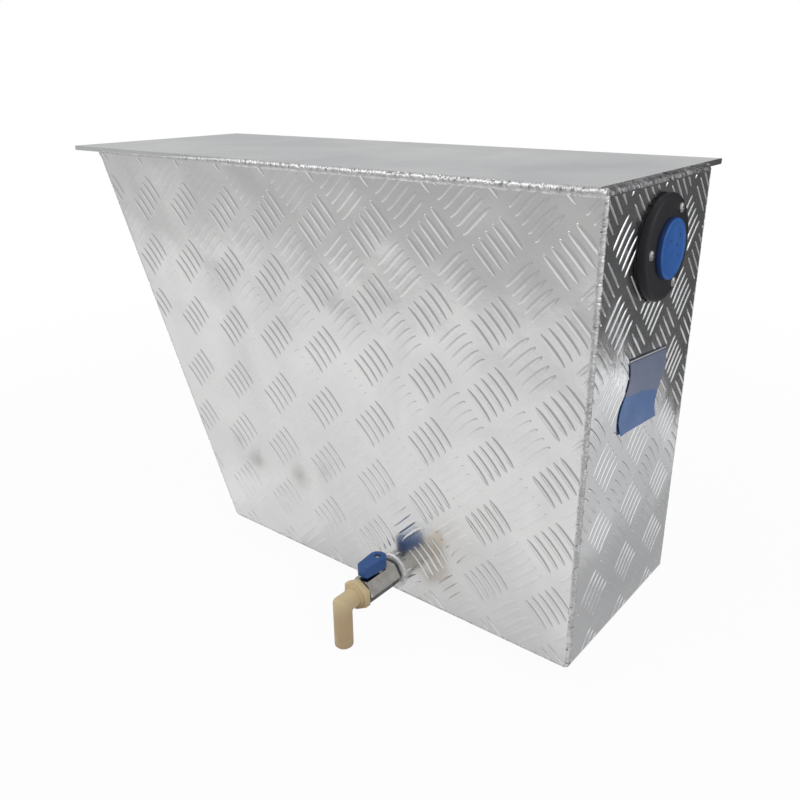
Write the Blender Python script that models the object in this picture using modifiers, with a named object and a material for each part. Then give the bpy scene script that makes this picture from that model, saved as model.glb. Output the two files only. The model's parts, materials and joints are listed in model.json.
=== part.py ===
# Fresh water tank: a tapered aluminium tread-plate tank that hangs from its flanged top plate,
# with a screwed-on filler and cap in the right end and a lever ball valve low in the front.
# Metres, +Z up, +X to the right, +Y from front to back.
# The origin is the centre of the top plate's upper face.

import math

import bmesh
import bpy
from mathutils import Euler, Matrix, Vector

# Tank body
TANK_DEPTH = 0.200          # front face to back face
TANK_HEIGHT = 0.398         # underside of the base to the top edge of the walls
TOP_LENGTH = 0.613          # outside length at the top
BASE_LENGTH = 0.431         # outside length at the base
WALL = 0.003                # sheet thickness
BEND_INSIDE = 0.003         # inside radius of the two folds
PLATE_THICKNESS = 0.005     # plain top plate
LEFT_FLANGE = 0.053         # overhang of the top plate on the left
BACK_FLANGE = 0.045         # overhang of the top plate at the back
RIGHT_INSET = 0.0072        # top plate's right edge, behind the outer face of the right wall
PLATE_EDGE = 0.0006         # edge break of the top plate
FILLET_LEG = 0.005          # fillet welds under the overhangs

# Clearances
GAP = 0.0003                # between pieces that touch
RUNNING = 0.0004            # around pieces that turn or slide

# Filler in the right end
FILLER_FROM_FRONT = 0.0995  # axis, behind the front face
FILLER_DOWN = 0.0502        # axis, below the top edge of the walls
NECK_BORE = 0.0178          # radius
NECK_WALL = 0.0032
COLLAR_STEP = 0.0012        # raised seat round the mouth, outside the neck
COLLAR_HEIGHT = 0.0009
FLANGE_RIM = 0.0030         # thickness at the rim
FLANGE_HEIGHT = 0.0060      # thickness at the raised face
FLANGE_LAND = 0.0042        # raised face outside the screw circle
FLANGE_SHOULDER = 0.0043    # rounded rim outside the raised face
NECK_REACH = 0.0300         # into the tank, from the outer face of the wall
GASKET_THICKNESS = 0.0015
SCREW_COUNT = 3
SCREW_OUT = 0.0118          # screw circle, outside the raised seat
SCREW_RADIUS = 0.0020
SCREW_HEAD_RADIUS = 0.0042
SCREW_HEAD_HEIGHT = 0.0022
SCREW_REACH = 0.0080        # past the outer face of the wall

# Filler cap
CAP_TOP = 0.0022            # thickness over the seal
CAP_SKIRT = 0.0014
CAP_EDGE = 0.0014
PLUG_REACH = 0.0110         # below the mouth of the collar
PLUG_WALL = 0.0022
SEAL_THICKNESS = 0.0010

# Label on the right end
LABEL_WIDTH = 0.074
LABEL_HEIGHT = 0.064
LABEL_THICKNESS = 0.0007
LABEL_FROM_FRONT = 0.0977   # middle, behind the front face
LABEL_DOWN = 0.1192         # middle, below the filler's axis
LABEL_WAVE = 0.0060         # sideways swing of its two curved sides
LABEL_TILT = math.radians(5.0)  # front end raised
LABEL_STEPS = 12            # points down each curved side

# Ball valve in the front
TAP_FROM_RIGHT = 0.195      # axis, from the right end
TAP_CLEAR = 0.0028          # socket weld, above the underside of the base
SOCKET_WALL = 0.0030
SOCKET_STEP = 0.0023        # flange outside the socket
SOCKET_FLANGE = 0.0026      # thickness
SOCKET_REACH = 0.0100       # into the tank, from the outer face of the panel
VALVE_LENGTH = 0.0430       # hexagon
VALVE_WALL = 0.0020         # thinnest, under the hexagon's flats
VALVE_CHAMFER = 0.0012
VALVE_MALE = 0.0095         # length of the end in the socket
VALVE_BORE = 0.0058
STEM_FROM_BACK = 0.0180     # stem axis, from the inner end of the hexagon
BALL_RADIUS = 0.0090
BALL_ROOM = 0.0015          # from the ball to its chamber
BALL_BORE = 0.0050
SEAT_ROOM = 0.0004          # from the stem to each seat
SEAT_LIP = 0.0074           # narrow end of a seat's cup
RETAINER_LENGTH = 0.0040
STEM_RADIUS = 0.0040
STEM_SQUARE = 0.0052
STEM_BOSS_RADIUS = 0.0058
STEM_BOSS_HEIGHT = 0.0040   # above the hexagon's flat
STEM_TOP = 0.0070           # square end, above the boss
TANG_WIDTH = 0.0026
TANG_LENGTH = 0.0064
TANG_DEPTH = 0.0024
RING_GROOVE = 0.0014        # depth of the stem's ring groove
RING_SECTION = 0.00055

# Blue lever
LEVER_LENGTH = 0.0320
LEVER_TIP_WIDTH = 0.0130
LEVER_HEIGHT = 0.0113
LEVER_CLEAR = 0.0030        # lever's foot, above the hexagon's flat
LEVER_WALL = 0.0022
LEVER_HUB_WALL = 0.0018     # round the stem's square end
LEVER_ROOM = 0.0005         # between the skirt and the stem boss
LEVER_ROOF = 0.0035
LEVER_EDGE = 0.0014
LEVER_SCREW_RADIUS = 0.0015
LEVER_SCREW_HEAD = 0.0029   # head radius
LEVER_SCREW_SINK = 0.0020   # head seat, below the lever's top

# Spout elbow
SPOUT_REACH = 0.0258        # axis of the down pipe, in front of the valve
SPOUT_RADIUS = 0.0090
SPOUT_BORE = 0.0062
SPOUT_DROP = 0.0450         # from the valve axis to the open end
SPOUT_CROOK = 0.0008        # rounding inside the elbow
SPOUT_CORNER = 0.0040       # rounding of its outer corner
SPOUT_END = 0.0022          # rounding of the open end
SPOUT_EDGE = 0.0011         # rounding of the collar
COLLAR_OVER = 0.0025        # collar across flats, more than the valve
SPOUT_COLLAR = 0.0065
SPOUT_SHOULDER = 0.0110     # round shoulder in front of the collar
SPOUT_SHOULDER_LENGTH = 0.0030
SPOUT_ROOM = 0.0026         # between the seat retainer and the spout's thread
WASHER_THICKNESS = 0.0012

ROUND = 48                  # facets of the filler
SMALL = 24                  # facets of the valve
FINE = 16                   # facets of screws
ELBOW_STEPS = 6             # round the spout's corner

# Places worked out from the sizes above
PLATE_LENGTH = TOP_LENGTH + LEFT_FLANGE - RIGHT_INSET
PLATE_DEPTH = TANK_DEPTH + BACK_FLANGE - WALL
RIGHT_X = PLATE_LENGTH / 2 + RIGHT_INSET
FRONT_Y = -PLATE_DEPTH / 2 - WALL
BACK_Y = FRONT_Y + TANK_DEPTH
WALL_TOP = -PLATE_THICKNESS - GAP
BASE_Z = WALL_TOP - TANK_HEIGHT
NECK_RADIUS = NECK_BORE + NECK_WALL
COLLAR_RADIUS = NECK_RADIUS + COLLAR_STEP
SCREW_CIRCLE = COLLAR_RADIUS + SCREW_OUT
FLANGE_FACE_RADIUS = SCREW_CIRCLE + FLANGE_LAND
FLANGE_RADIUS = FLANGE_FACE_RADIUS + FLANGE_SHOULDER
FILLER_AXIS = Vector((RIGHT_X, FRONT_Y + FILLER_FROM_FRONT, WALL_TOP - FILLER_DOWN))
CHAMBER_RADIUS = BALL_RADIUS + BALL_ROOM
SEAT_RIM = STEM_RADIUS + SEAT_ROOM      # wide end of a seat's cup, from the ball's centre
THREAD_RADIUS = CHAMBER_RADIUS - GAP    # half-inch pipe thread, as a plain cylinder
VALVE_FLATS = 2 * (CHAMBER_RADIUS + VALVE_WALL)
SOCKET_RADIUS = CHAMBER_RADIUS + SOCKET_WALL
SOCKET_FLANGE_RADIUS = SOCKET_RADIUS + SOCKET_STEP
TAP_UP = SOCKET_FLANGE_RADIUS + GAP + SOCKET_FLANGE + TAP_CLEAR
TAP_AXIS = Vector((RIGHT_X - TAP_FROM_RIGHT, FRONT_Y, BASE_Z + TAP_UP))
OUT_OF_RIGHT = Euler((0, math.pi / 2, 0))      # local Z to world +X
OUT_OF_FRONT = Euler((math.pi / 2, 0, 0))      # local Z to world -Y
ALONG_RIGHT = Euler((math.pi / 2, 0, math.pi / 2))  # local X to world +Y, local Y to +Z
UPRIGHT = Euler((0, 0, 0))

for old in list(bpy.data.objects):
    bpy.data.objects.remove(old, do_unlink=True)

parts = bpy.data.collections.new("fresh_water_tank")
cutters = bpy.data.collections.new("fresh_water_tank_cutters")
for group in (parts, cutters):
    bpy.context.scene.collection.children.link(group)


def material(name, colour, roughness, metallic):
    made = bpy.data.materials.new(name)
    made.use_nodes = True
    shader = made.node_tree.nodes["Principled BSDF"]
    shader.inputs["Base Color"].default_value = (*colour, 1)
    shader.inputs["Roughness"].default_value = roughness
    shader.inputs["Metallic"].default_value = metallic
    return made


TREAD = material("tread_aluminium", (0.80, 0.80, 0.81), 0.22, 1.0)
PLAIN = material("plain_aluminium", (0.72, 0.73, 0.74), 0.30, 1.0)
BEAD = material("weld_metal", (0.62, 0.62, 0.63), 0.42, 1.0)
NICKEL = material("nickel_plate", (0.60, 0.58, 0.55), 0.18, 1.0)
BRASS = material("bare_brass", (0.75, 0.58, 0.30), 0.30, 1.0)
STEEL = material("stainless_steel", (0.66, 0.66, 0.66), 0.25, 1.0)
BLACK = material("black_nylon", (0.022, 0.022, 0.025), 0.45, 0.0)
BLUE = material("blue_plastic", (0.030, 0.120, 0.420), 0.38, 0.0)
BEIGE = material("beige_nylon", (0.520, 0.380, 0.210), 0.50, 0.0)
WHITE = material("white_seal_plastic", (0.85, 0.85, 0.82), 0.45, 0.0)
RUBBER = material("black_rubber", (0.018, 0.018, 0.018), 0.80, 0.0)
FILM = material("label_film", (0.120, 0.180, 0.360), 0.35, 0.0)


# Building helpers

def place(name, data, finish, location=(0, 0, 0), rotation=UPRIGHT, cutter=False):
    made = bpy.data.objects.new(name, data)
    made.location = location
    made.rotation_euler = rotation
    (cutters if cutter else parts).objects.link(made)
    if cutter:
        made.hide_render = True
        made.display_type = "WIRE"
    else:
        data.materials.append(finish)
    return made


def smooth(data):
    data.shade_smooth()
    data.set_sharp_from_angle(angle=math.radians(35))


def turned(name, profile, finish, segments, location, rotation, cutter=False, ring=False):
    # The profile lists (radius, height) down its outer side, from the top.
    data = bpy.data.meshes.new(name)
    links = [(i, i + 1) for i in range(len(profile) - 1)]
    if ring:
        links.append((len(profile) - 1, 0))
    data.from_pydata([(radius, 0, height) for radius, height in profile], links, [])
    made = place(name, data, finish, location, rotation, cutter)
    spin = made.modifiers.new("Screw", "SCREW")
    spin.axis = "Z"
    spin.angle = math.tau
    spin.steps = segments
    spin.render_steps = segments
    spin.use_merge_vertices = True
    spin.merge_threshold = 0.00001
    spin.use_smooth_shade = True
    return made


def solid(name, shape, finish, location=(0, 0, 0), rotation=UPRIGHT, cutter=False):
    # The shape function fills an empty bmesh.
    data = bpy.data.meshes.new(name)
    work = bmesh.new()
    shape(work)
    work.to_mesh(data)
    work.free()
    return place(name, data, finish, location, rotation, cutter)


def block(size, centre=(0, 0, 0)):
    def shape(work):
        matrix = Matrix.Translation(centre) @ Matrix.Diagonal((*size, 1))
        bmesh.ops.create_cube(work, size=1, matrix=matrix)
    return shape


def prism(sides, radius, low, high, turn=0.0):
    def shape(work):
        matrix = Matrix.Translation((0, 0, (low + high) / 2)) @ Matrix.Rotation(turn, 4, "Z")
        bmesh.ops.create_cone(work, cap_ends=True, segments=sides, radius1=radius, radius2=radius,
                              depth=high - low, matrix=matrix)
    return shape


def ball(radius):
    def shape(work):
        bmesh.ops.create_uvsphere(work, u_segments=SMALL, v_segments=14, radius=radius)
    return shape


def path_curve(name, points, closed):
    data = bpy.data.curves.new(name, "CURVE")
    data.dimensions = "2D"
    spline = data.splines.new("POLY")
    spline.points.add(len(points) - 1)
    for slot, point in zip(spline.points, points):
        slot.co = (*Vector(point).to_3d(), 1)
    spline.use_cyclic_u = closed
    return data


def as_mesh(name, data, finish, location=(0, 0, 0), rotation=UPRIGHT, cutter=False):
    # Turns a curve into a closed mesh with its caps welded on.
    guide = place(name + "_curve", data, finish, location, rotation)
    bpy.context.view_layer.update()
    evaluated = guide.evaluated_get(bpy.context.evaluated_depsgraph_get())
    mesh = bpy.data.meshes.new_from_object(evaluated)
    mesh.name = name
    mesh.materials.clear()
    work = bmesh.new()
    work.from_mesh(mesh)
    bmesh.ops.remove_doubles(work, verts=work.verts, dist=0.00001)
    bmesh.ops.recalc_face_normals(work, faces=work.faces)
    work.to_mesh(mesh)
    work.free()
    made = place(name, mesh, finish, cutter=cutter)
    made.matrix_world = guide.matrix_world
    bpy.data.objects.remove(guide, do_unlink=True)
    return made


def flat(name, outline, thickness, finish, location, rotation, cutter=False):
    # A flat outline, thickened evenly about its own plane.
    data = path_curve(name, outline, True)
    data.fill_mode = "BOTH"
    data.extrude = thickness / 2
    return as_mesh(name, data, finish, location, rotation, cutter)


def boolean(target, operand, operation="DIFFERENCE"):
    cut = target.modifiers.new(operand.name, "BOOLEAN")
    cut.object = operand
    cut.operation = operation
    cut.solver = "EXACT"
    return target


def rounded(target, width, segments):
    edge = target.modifiers.new("Bevel", "BEVEL")
    edge.width = width
    edge.segments = segments
    edge.limit_method = "ANGLE"
    edge.angle_limit = math.radians(40)
    return target


def arc(centre, radius, start, end, steps):
    # Points on an arc, angles in degrees, from the first coordinate towards the second.
    points = []
    for i in range(steps + 1):
        angle = math.radians(start + (end - start) * i / steps)
        points.append((centre[0] + radius * math.cos(angle), centre[1] + radius * math.sin(angle)))
    return points


def hexagon_radius(flats):
    return flats / math.sqrt(3)


# Outline of the folded sheet in X and Z, at a distance inside its outer face:
# down the sloping left wall, along the base and up the right wall.

def fold(before, corner, after, radius, steps=5):
    # Points of a fold of this radius between two straight runs.
    corner = Vector(corner)
    first = (Vector(before) - corner).normalized()
    last = (Vector(after) - corner).normalized()
    half = first.angle(last) / 2
    middle = corner + (first + last).normalized() * (radius / math.sin(half))
    start = corner + first * (radius / math.tan(half)) - middle
    end = corner + last * (radius / math.tan(half)) - middle
    sweep = start.angle_signed(end)
    points = []
    for i in range(steps + 1):
        points.append(tuple(middle + Matrix.Rotation(-sweep * i / steps, 2) @ start))
    return points


def sheet_outline(inset):
    slope = math.atan2(TOP_LENGTH - BASE_LENGTH, TANK_HEIGHT)
    across = inset / math.cos(slope)
    rise = inset * math.tan(slope)
    left_top = (RIGHT_X - TOP_LENGTH + across, WALL_TOP)
    left_base = (RIGHT_X - BASE_LENGTH + across - rise, BASE_Z + inset)
    right_base = (RIGHT_X - inset, BASE_Z + inset)
    right_top = (RIGHT_X - inset, WALL_TOP)
    radius = WALL + BEND_INSIDE - inset
    return [left_top, *fold(left_top, left_base, right_base, radius),
            *fold(left_base, right_base, right_top, radius), right_top]


def upright_plane(y):
    # Places a flat X and Z outline at this depth.
    return {"location": (0, y, 0), "rotation": OUT_OF_FRONT}


# Tank body

def build_top_plate():
    plate = solid("top_plate", block((PLATE_LENGTH, PLATE_DEPTH, PLATE_THICKNESS),
                                     (0, 0, -PLATE_THICKNESS / 2)), PLAIN)
    rounded(plate, PLATE_EDGE, 2)


def build_wrap_shell():
    depth = TANK_DEPTH - 2 * (WALL + GAP)
    outline = sheet_outline(0) + sheet_outline(WALL)[::-1]
    sheet = flat("wrap_shell", outline, depth, TREAD, **upright_plane(FRONT_Y + TANK_DEPTH / 2))
    through = WALL * 4
    boolean(sheet, solid("neck_hole", prism(ROUND, NECK_RADIUS + GAP, -through, through), None,
                         FILLER_AXIS, OUT_OF_RIGHT, cutter=True))
    for number, spot in enumerate(screw_spots(), 1):
        hole = prism(FINE, SCREW_RADIUS + GAP, -through, through)
        boolean(sheet, solid(f"wall_screw_hole_{number}", hole, None, spot, OUT_OF_RIGHT, cutter=True))


def build_end_panels():
    outline = sheet_outline(WALL + GAP)
    front = flat("front_panel", outline, WALL, TREAD, **upright_plane(FRONT_Y + WALL / 2))
    hole = prism(ROUND, SOCKET_RADIUS + GAP, -WALL * 2, WALL * 2)
    boolean(front, solid("socket_hole", hole, None, TAP_AXIS, OUT_OF_FRONT, cutter=True))
    flat("back_panel", outline, WALL, TREAD, **upright_plane(BACK_Y - WALL / 2))


def bead_section(width, height, turn):
    # Quarter-round section that fills the notch where two sheets meet corner to corner.
    corner = [(0, 0), *[(x * width, y * height) for x, y in arc((0, 0), 1, 0, 90, 4)]]
    return [(x, y * turn) for x, y in corner]


def swept_bead(name, run, section, location, rotation=UPRIGHT):
    # Runs a bead section along a flat path, towards the right-hand side of the path.
    guide = path_curve(name + "_section", section, True)
    bead = path_curve(name, run, False)
    bead.bevel_mode = "OBJECT"
    bead.bevel_object = place(name + "_section", guide, None, cutter=True)
    bead.use_fill_caps = True
    return as_mesh(name, bead, BEAD, location, rotation)


def build_seam_welds():
    # Down the sloping edge, along the base and up the right edge, at the front and at the back.
    size = WALL - GAP
    for name, depth, turn in (("front_seam_weld", FRONT_Y + WALL, 1), ("back_seam_weld", BACK_Y - WALL, -1)):
        bead = swept_bead(name, sheet_outline(WALL), bead_section(size, size, turn), **upright_plane(depth))
        trim = block((2 * TOP_LENGTH, 2 * TANK_DEPTH, TANK_HEIGHT), (0, 0, WALL_TOP + TANK_HEIGHT / 2))
        boolean(bead, solid(name + "_trim", trim, None, cutter=True))


def build_lid_welds():
    left_x = RIGHT_X - TOP_LENGTH
    middle_y = FRONT_Y + TANK_DEPTH / 2
    foot = WALL_TOP + GAP
    height = PLATE_THICKNESS - GAP
    front = bead_section(WALL - 2 * GAP, height, 1)
    front_end = RIGHT_X - RIGHT_INSET
    front_place = ((left_x + WALL + front_end) / 2, FRONT_Y + WALL - GAP, foot)
    turned_front = [(-x, y) for x, y in front]
    flat("lid_front_weld", turned_front, front_end - left_x - WALL, BEAD, front_place, ALONG_RIGHT)
    right = bead_section(RIGHT_INSET - 2 * GAP, height, 1)
    right_place = (RIGHT_X - RIGHT_INSET + GAP, middle_y, foot)
    flat("lid_right_weld", right, TANK_DEPTH, BEAD, right_place, OUT_OF_FRONT)
    slope = math.atan2(TOP_LENGTH - BASE_LENGTH, TANK_HEIGHT)
    leg = FILLET_LEG
    left = [(0, 0), (-leg, 0), (leg * math.sin(slope), -leg * math.cos(slope))]
    left_place = (left_x - GAP / math.cos(slope), middle_y, WALL_TOP)
    flat("lid_left_weld", left, TANK_DEPTH - 2 * WALL, BEAD, left_place, OUT_OF_FRONT)
    back = [(0, 0), (leg, 0), (0, -leg)]
    back_place = ((left_x + RIGHT_X) / 2, BACK_Y + GAP, WALL_TOP)
    flat("lid_back_weld", back, TOP_LENGTH - 2 * WALL, BEAD, back_place, ALONG_RIGHT)


# Filler, heights along its axis from the outer face of the wall

GASKET_TOP = GAP + GASKET_THICKNESS
FLANGE_FOOT = GASKET_TOP + GAP
FACE = FLANGE_FOOT + FLANGE_HEIGHT
MOUTH = FACE + COLLAR_HEIGHT
SEAL_FOOT = MOUTH + GAP
CAP_ROOF = SEAL_FOOT + SEAL_THICKNESS + GAP


def screw_spots():
    spots = []
    for i in range(SCREW_COUNT):
        angle = math.pi - i * math.tau / SCREW_COUNT
        offset = Vector((0, math.cos(angle), math.sin(angle))) * SCREW_CIRCLE
        spots.append(FILLER_AXIS + offset)
    return spots


def build_filler():
    shoulder = FLANGE_RADIUS - FLANGE_FACE_RADIUS
    rim, rise = FLANGE_FOOT + FLANGE_RIM, FLANGE_HEIGHT - FLANGE_RIM
    profile = [(NECK_BORE, MOUTH), (COLLAR_RADIUS - COLLAR_HEIGHT / 2, MOUTH),
               (COLLAR_RADIUS, MOUTH - COLLAR_HEIGHT / 2), (COLLAR_RADIUS, FACE),
               *[(FLANGE_FACE_RADIUS + shoulder * x, rim + rise * y) for x, y in arc((0, 0), 1, 90, 0, 5)],
               (FLANGE_RADIUS, FLANGE_FOOT), (NECK_RADIUS, FLANGE_FOOT),
               (NECK_RADIUS, -NECK_REACH), (NECK_BORE, -NECK_REACH)]
    flange = turned("filler_flange", profile, BLACK, ROUND, FILLER_AXIS, OUT_OF_RIGHT, ring=True)
    gasket_hole = NECK_RADIUS + GAP
    ring = [(gasket_hole, GASKET_TOP), (FLANGE_RADIUS - GASKET_THICKNESS, GASKET_TOP),
            (FLANGE_RADIUS - GASKET_THICKNESS, GAP), (gasket_hole, GAP)]
    gasket = turned("filler_gasket", ring, RUBBER, ROUND, FILLER_AXIS, OUT_OF_RIGHT, ring=True)
    head_foot = FACE + GAP
    head = [(0, head_foot + SCREW_HEAD_HEIGHT),
            *[(SCREW_HEAD_RADIUS * x, head_foot + SCREW_HEAD_HEIGHT * y)
              for x, y in arc((0, 0), 1, 68, 0, 3)],
            (SCREW_RADIUS, head_foot), (SCREW_RADIUS, -SCREW_REACH + SCREW_RADIUS), (0, -SCREW_REACH)]
    for number, spot in enumerate(screw_spots(), 1):
        turned(f"filler_screw_{number}", head, STEEL, FINE, spot, OUT_OF_RIGHT)
        hole = prism(FINE, SCREW_RADIUS + GAP, -WALL, FACE + WALL)
        drill = solid(f"flange_screw_hole_{number}", hole, None, spot, OUT_OF_RIGHT, cutter=True)
        boolean(flange, drill)
        boolean(gasket, drill)


def build_cap():
    plug = NECK_BORE - RUNNING
    groove = COLLAR_RADIUS + RUNNING
    outer = groove + CAP_SKIRT
    top = CAP_ROOF + CAP_TOP
    foot = MOUTH - PLUG_REACH
    profile = [(0, top), *arc((outer - CAP_EDGE, top - CAP_EDGE), CAP_EDGE, 90, 0, 4),
               (outer, FACE + GAP), (groove, FACE + GAP), (groove, CAP_ROOF), (plug, CAP_ROOF),
               (plug, foot), (plug - PLUG_WALL, foot), (plug - PLUG_WALL, CAP_ROOF), (0, CAP_ROOF)]
    turned("filler_cap", profile, BLUE, ROUND, FILLER_AXIS, OUT_OF_RIGHT)
    inner, rim = plug + RUNNING, COLLAR_RADIUS - GAP
    seal_top = SEAL_FOOT + SEAL_THICKNESS
    ring = [(inner, seal_top), (rim, seal_top), (rim, SEAL_FOOT), (inner, SEAL_FOOT)]
    turned("cap_seal", ring, RUBBER, ROUND, FILLER_AXIS, OUT_OF_RIGHT, ring=True)


def build_label():
    # Straight top and bottom, both sides swung in one slow wave, the whole a little out of level.
    sides = []
    for i in range(LABEL_STEPS + 1):
        share = i / LABEL_STEPS
        swing = -LABEL_WAVE * math.sin(math.tau * share)
        sides.append((swing, LABEL_HEIGHT * (share - 0.5)))
    right = [(LABEL_WIDTH / 2 + swing, rise) for swing, rise in sides]
    left = [(-LABEL_WIDTH / 2 + swing, rise) for swing, rise in reversed(sides)]
    spot = (RIGHT_X + GAP + LABEL_THICKNESS / 2, FRONT_Y + LABEL_FROM_FRONT, FILLER_AXIS.z - LABEL_DOWN)
    lean = Matrix.Rotation(-LABEL_TILT, 2)
    outline = [lean @ Vector(place) for place in right + left]
    flat("blank_label", outline, LABEL_THICKNESS, FILM, spot, ALONG_RIGHT)


# Ball valve, distances along its axis from the outer face of the front panel

SOCKET_FACE = GAP + SOCKET_FLANGE
VALVE_BACK = SOCKET_FACE + GAP
VALVE_FRONT = VALVE_BACK + VALVE_LENGTH
STEM_AT = VALVE_BACK + STEM_FROM_BACK
SEAT_RADIUS = BALL_RADIUS + GAP
SEAT_BACK = SEAT_RADIUS + GAP
CHAMBER_END = STEM_AT - SEAT_BACK - GAP
RETAINER_BACK = STEM_AT + SEAT_BACK + GAP
RETAINER_FRONT = RETAINER_BACK + RETAINER_LENGTH
THREAD_END = RETAINER_FRONT + SPOUT_ROOM
FLAT_HEIGHT = VALVE_FLATS / 2
LEVER_END_RADIUS = STEM_BOSS_RADIUS + LEVER_ROOM + LEVER_WALL
BOSS_TOP = FLAT_HEIGHT + STEM_BOSS_HEIGHT
RING_HEIGHT = (CHAMBER_RADIUS + BOSS_TOP) / 2
STEM_AXIS = TAP_AXIS + Vector((0, -STEM_AT, 0))


def build_socket():
    bore = CHAMBER_RADIUS
    profile = [(bore, SOCKET_FACE), (SOCKET_FLANGE_RADIUS, SOCKET_FACE), (SOCKET_FLANGE_RADIUS, GAP),
               (SOCKET_RADIUS, GAP), (SOCKET_RADIUS, -SOCKET_REACH), (bore, -SOCKET_REACH)]
    turned("outlet_socket", profile, PLAIN, SMALL, TAP_AXIS, OUT_OF_FRONT, ring=True)
    inner = SOCKET_FLANGE_RADIUS + GAP
    leg = SOCKET_FLANGE
    bead = [(inner, GAP + leg), *arc((inner, GAP), leg, 60, 0, 2), (inner, GAP)]
    turned("socket_weld", bead, BEAD, SMALL, TAP_AXIS, OUT_OF_FRONT, ring=True)


def build_valve_body():
    corner = hexagon_radius(VALVE_FLATS)
    body = solid("valve_body", prism(6, corner, VALVE_BACK, VALVE_FRONT, math.radians(30)), NICKEL,
                 TAP_AXIS, OUT_OF_FRONT)
    wide, narrow = corner + VALVE_CHAMFER, corner - 2 * VALVE_CHAMFER
    barrel = [(0, VALVE_FRONT + GAP), (narrow, VALVE_FRONT + GAP), (wide, VALVE_FRONT - 2 * VALVE_CHAMFER),
              (wide, VALVE_BACK + 2 * VALVE_CHAMFER), (narrow, VALVE_BACK - GAP), (0, VALVE_BACK - GAP)]
    turning = turned("valve_barrel", barrel, None, ROUND, TAP_AXIS, OUT_OF_FRONT, cutter=True)
    boolean(body, turning, "INTERSECT")
    boss = prism(SMALL, STEM_BOSS_RADIUS, 0, BOSS_TOP)
    boolean(body, solid("stem_boss", boss, None, STEM_AXIS, UPRIGHT, cutter=True), "UNION")
    male = prism(SMALL, THREAD_RADIUS, VALVE_BACK - VALVE_MALE, VALVE_BACK + VALVE_CHAMFER * 2)
    boolean(body, solid("male_end", male, None, TAP_AXIS, OUT_OF_FRONT, cutter=True), "UNION")
    water = [(0, VALVE_FRONT + WALL), (CHAMBER_RADIUS, VALVE_FRONT + WALL), (CHAMBER_RADIUS, CHAMBER_END),
             (VALVE_BORE, CHAMBER_END), (VALVE_BORE, VALVE_BACK - VALVE_MALE - WALL),
             (0, VALVE_BACK - VALVE_MALE - WALL)]
    boolean(body, turned("valve_water_way", water, None, SMALL, TAP_AXIS, OUT_OF_FRONT, cutter=True))
    stem_hole = prism(SMALL, STEM_RADIUS + RUNNING, 0, BOSS_TOP + WALL)
    boolean(body, solid("stem_hole", stem_hole, None, STEM_AXIS, UPRIGHT, cutter=True))


def build_valve_inside():
    rim = CHAMBER_RADIUS - GAP
    cup = arc((0, STEM_AT), SEAT_RADIUS, math.degrees(math.asin(SEAT_RIM / SEAT_RADIUS)),
              math.degrees(math.asin(SEAT_LIP / SEAT_RADIUS)), 5)
    outer = [(rim, STEM_AT + SEAT_BACK), (rim, STEM_AT + SEAT_RIM), *cup, (cup[-1][0], STEM_AT + SEAT_BACK)]
    inner = [(radius, 2 * STEM_AT - along) for radius, along in reversed(outer)]
    turned("outer_seat", outer, WHITE, SMALL, TAP_AXIS, OUT_OF_FRONT, ring=True)
    turned("inner_seat", inner, WHITE, SMALL, TAP_AXIS, OUT_OF_FRONT, ring=True)
    ring = [(VALVE_BORE, RETAINER_FRONT), (rim, RETAINER_FRONT), (rim, RETAINER_BACK),
            (VALVE_BORE, RETAINER_BACK)]
    turned("seat_retainer", ring, BRASS, SMALL, TAP_AXIS, OUT_OF_FRONT, ring=True)
    sphere = solid("valve_ball", ball(BALL_RADIUS), NICKEL, STEM_AXIS, OUT_OF_FRONT)
    bore = prism(SMALL, BALL_BORE, -2 * BALL_RADIUS, 2 * BALL_RADIUS)
    boolean(sphere, solid("ball_bore", bore, None, STEM_AXIS, OUT_OF_FRONT, cutter=True))
    slot = block((TANG_WIDTH + 2 * RUNNING, 4 * BALL_RADIUS, 2 * TANG_DEPTH), (0, 0, BALL_RADIUS))
    boolean(sphere, solid("ball_slot", slot, None, STEM_AXIS, UPRIGHT, cutter=True))


def build_stem():
    groove = STEM_RADIUS - RING_GROOVE
    half = RING_SECTION + GAP
    foot = BALL_RADIUS - TANG_DEPTH + GAP
    top = BOSS_TOP + STEM_TOP
    profile = [(0, BOSS_TOP), (STEM_RADIUS, BOSS_TOP), (STEM_RADIUS, RING_HEIGHT + half),
               (groove, RING_HEIGHT + half), (groove, RING_HEIGHT - half), (STEM_RADIUS, RING_HEIGHT - half),
               (STEM_RADIUS, BALL_RADIUS + GAP), (0, BALL_RADIUS + GAP)]
    stem = turned("valve_stem", profile, BRASS, SMALL, STEM_AXIS, UPRIGHT)
    tang_height = BALL_RADIUS + 2 * GAP - foot
    tang = block((TANG_WIDTH, TANG_LENGTH, tang_height), (0, 0, foot + tang_height / 2))
    boolean(stem, solid("stem_tang", tang, None, STEM_AXIS, UPRIGHT, cutter=True), "UNION")
    square = block((STEM_SQUARE, STEM_SQUARE, STEM_TOP + GAP), (0, 0, BOSS_TOP + (STEM_TOP - GAP) / 2))
    boolean(stem, solid("stem_square", square, None, STEM_AXIS, UPRIGHT, cutter=True), "UNION")
    pilot = prism(FINE, LEVER_SCREW_RADIUS + GAP, BOSS_TOP, top + WALL)
    boolean(stem, solid("stem_pilot", pilot, None, STEM_AXIS, UPRIGHT, cutter=True))
    middle = (groove + STEM_RADIUS + RUNNING) / 2
    section = arc((middle, RING_HEIGHT), RING_SECTION, 180, -180, 8)[:-1]
    turned("stem_ring", section, RUBBER, SMALL, STEM_AXIS, UPRIGHT, ring=True)


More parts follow.
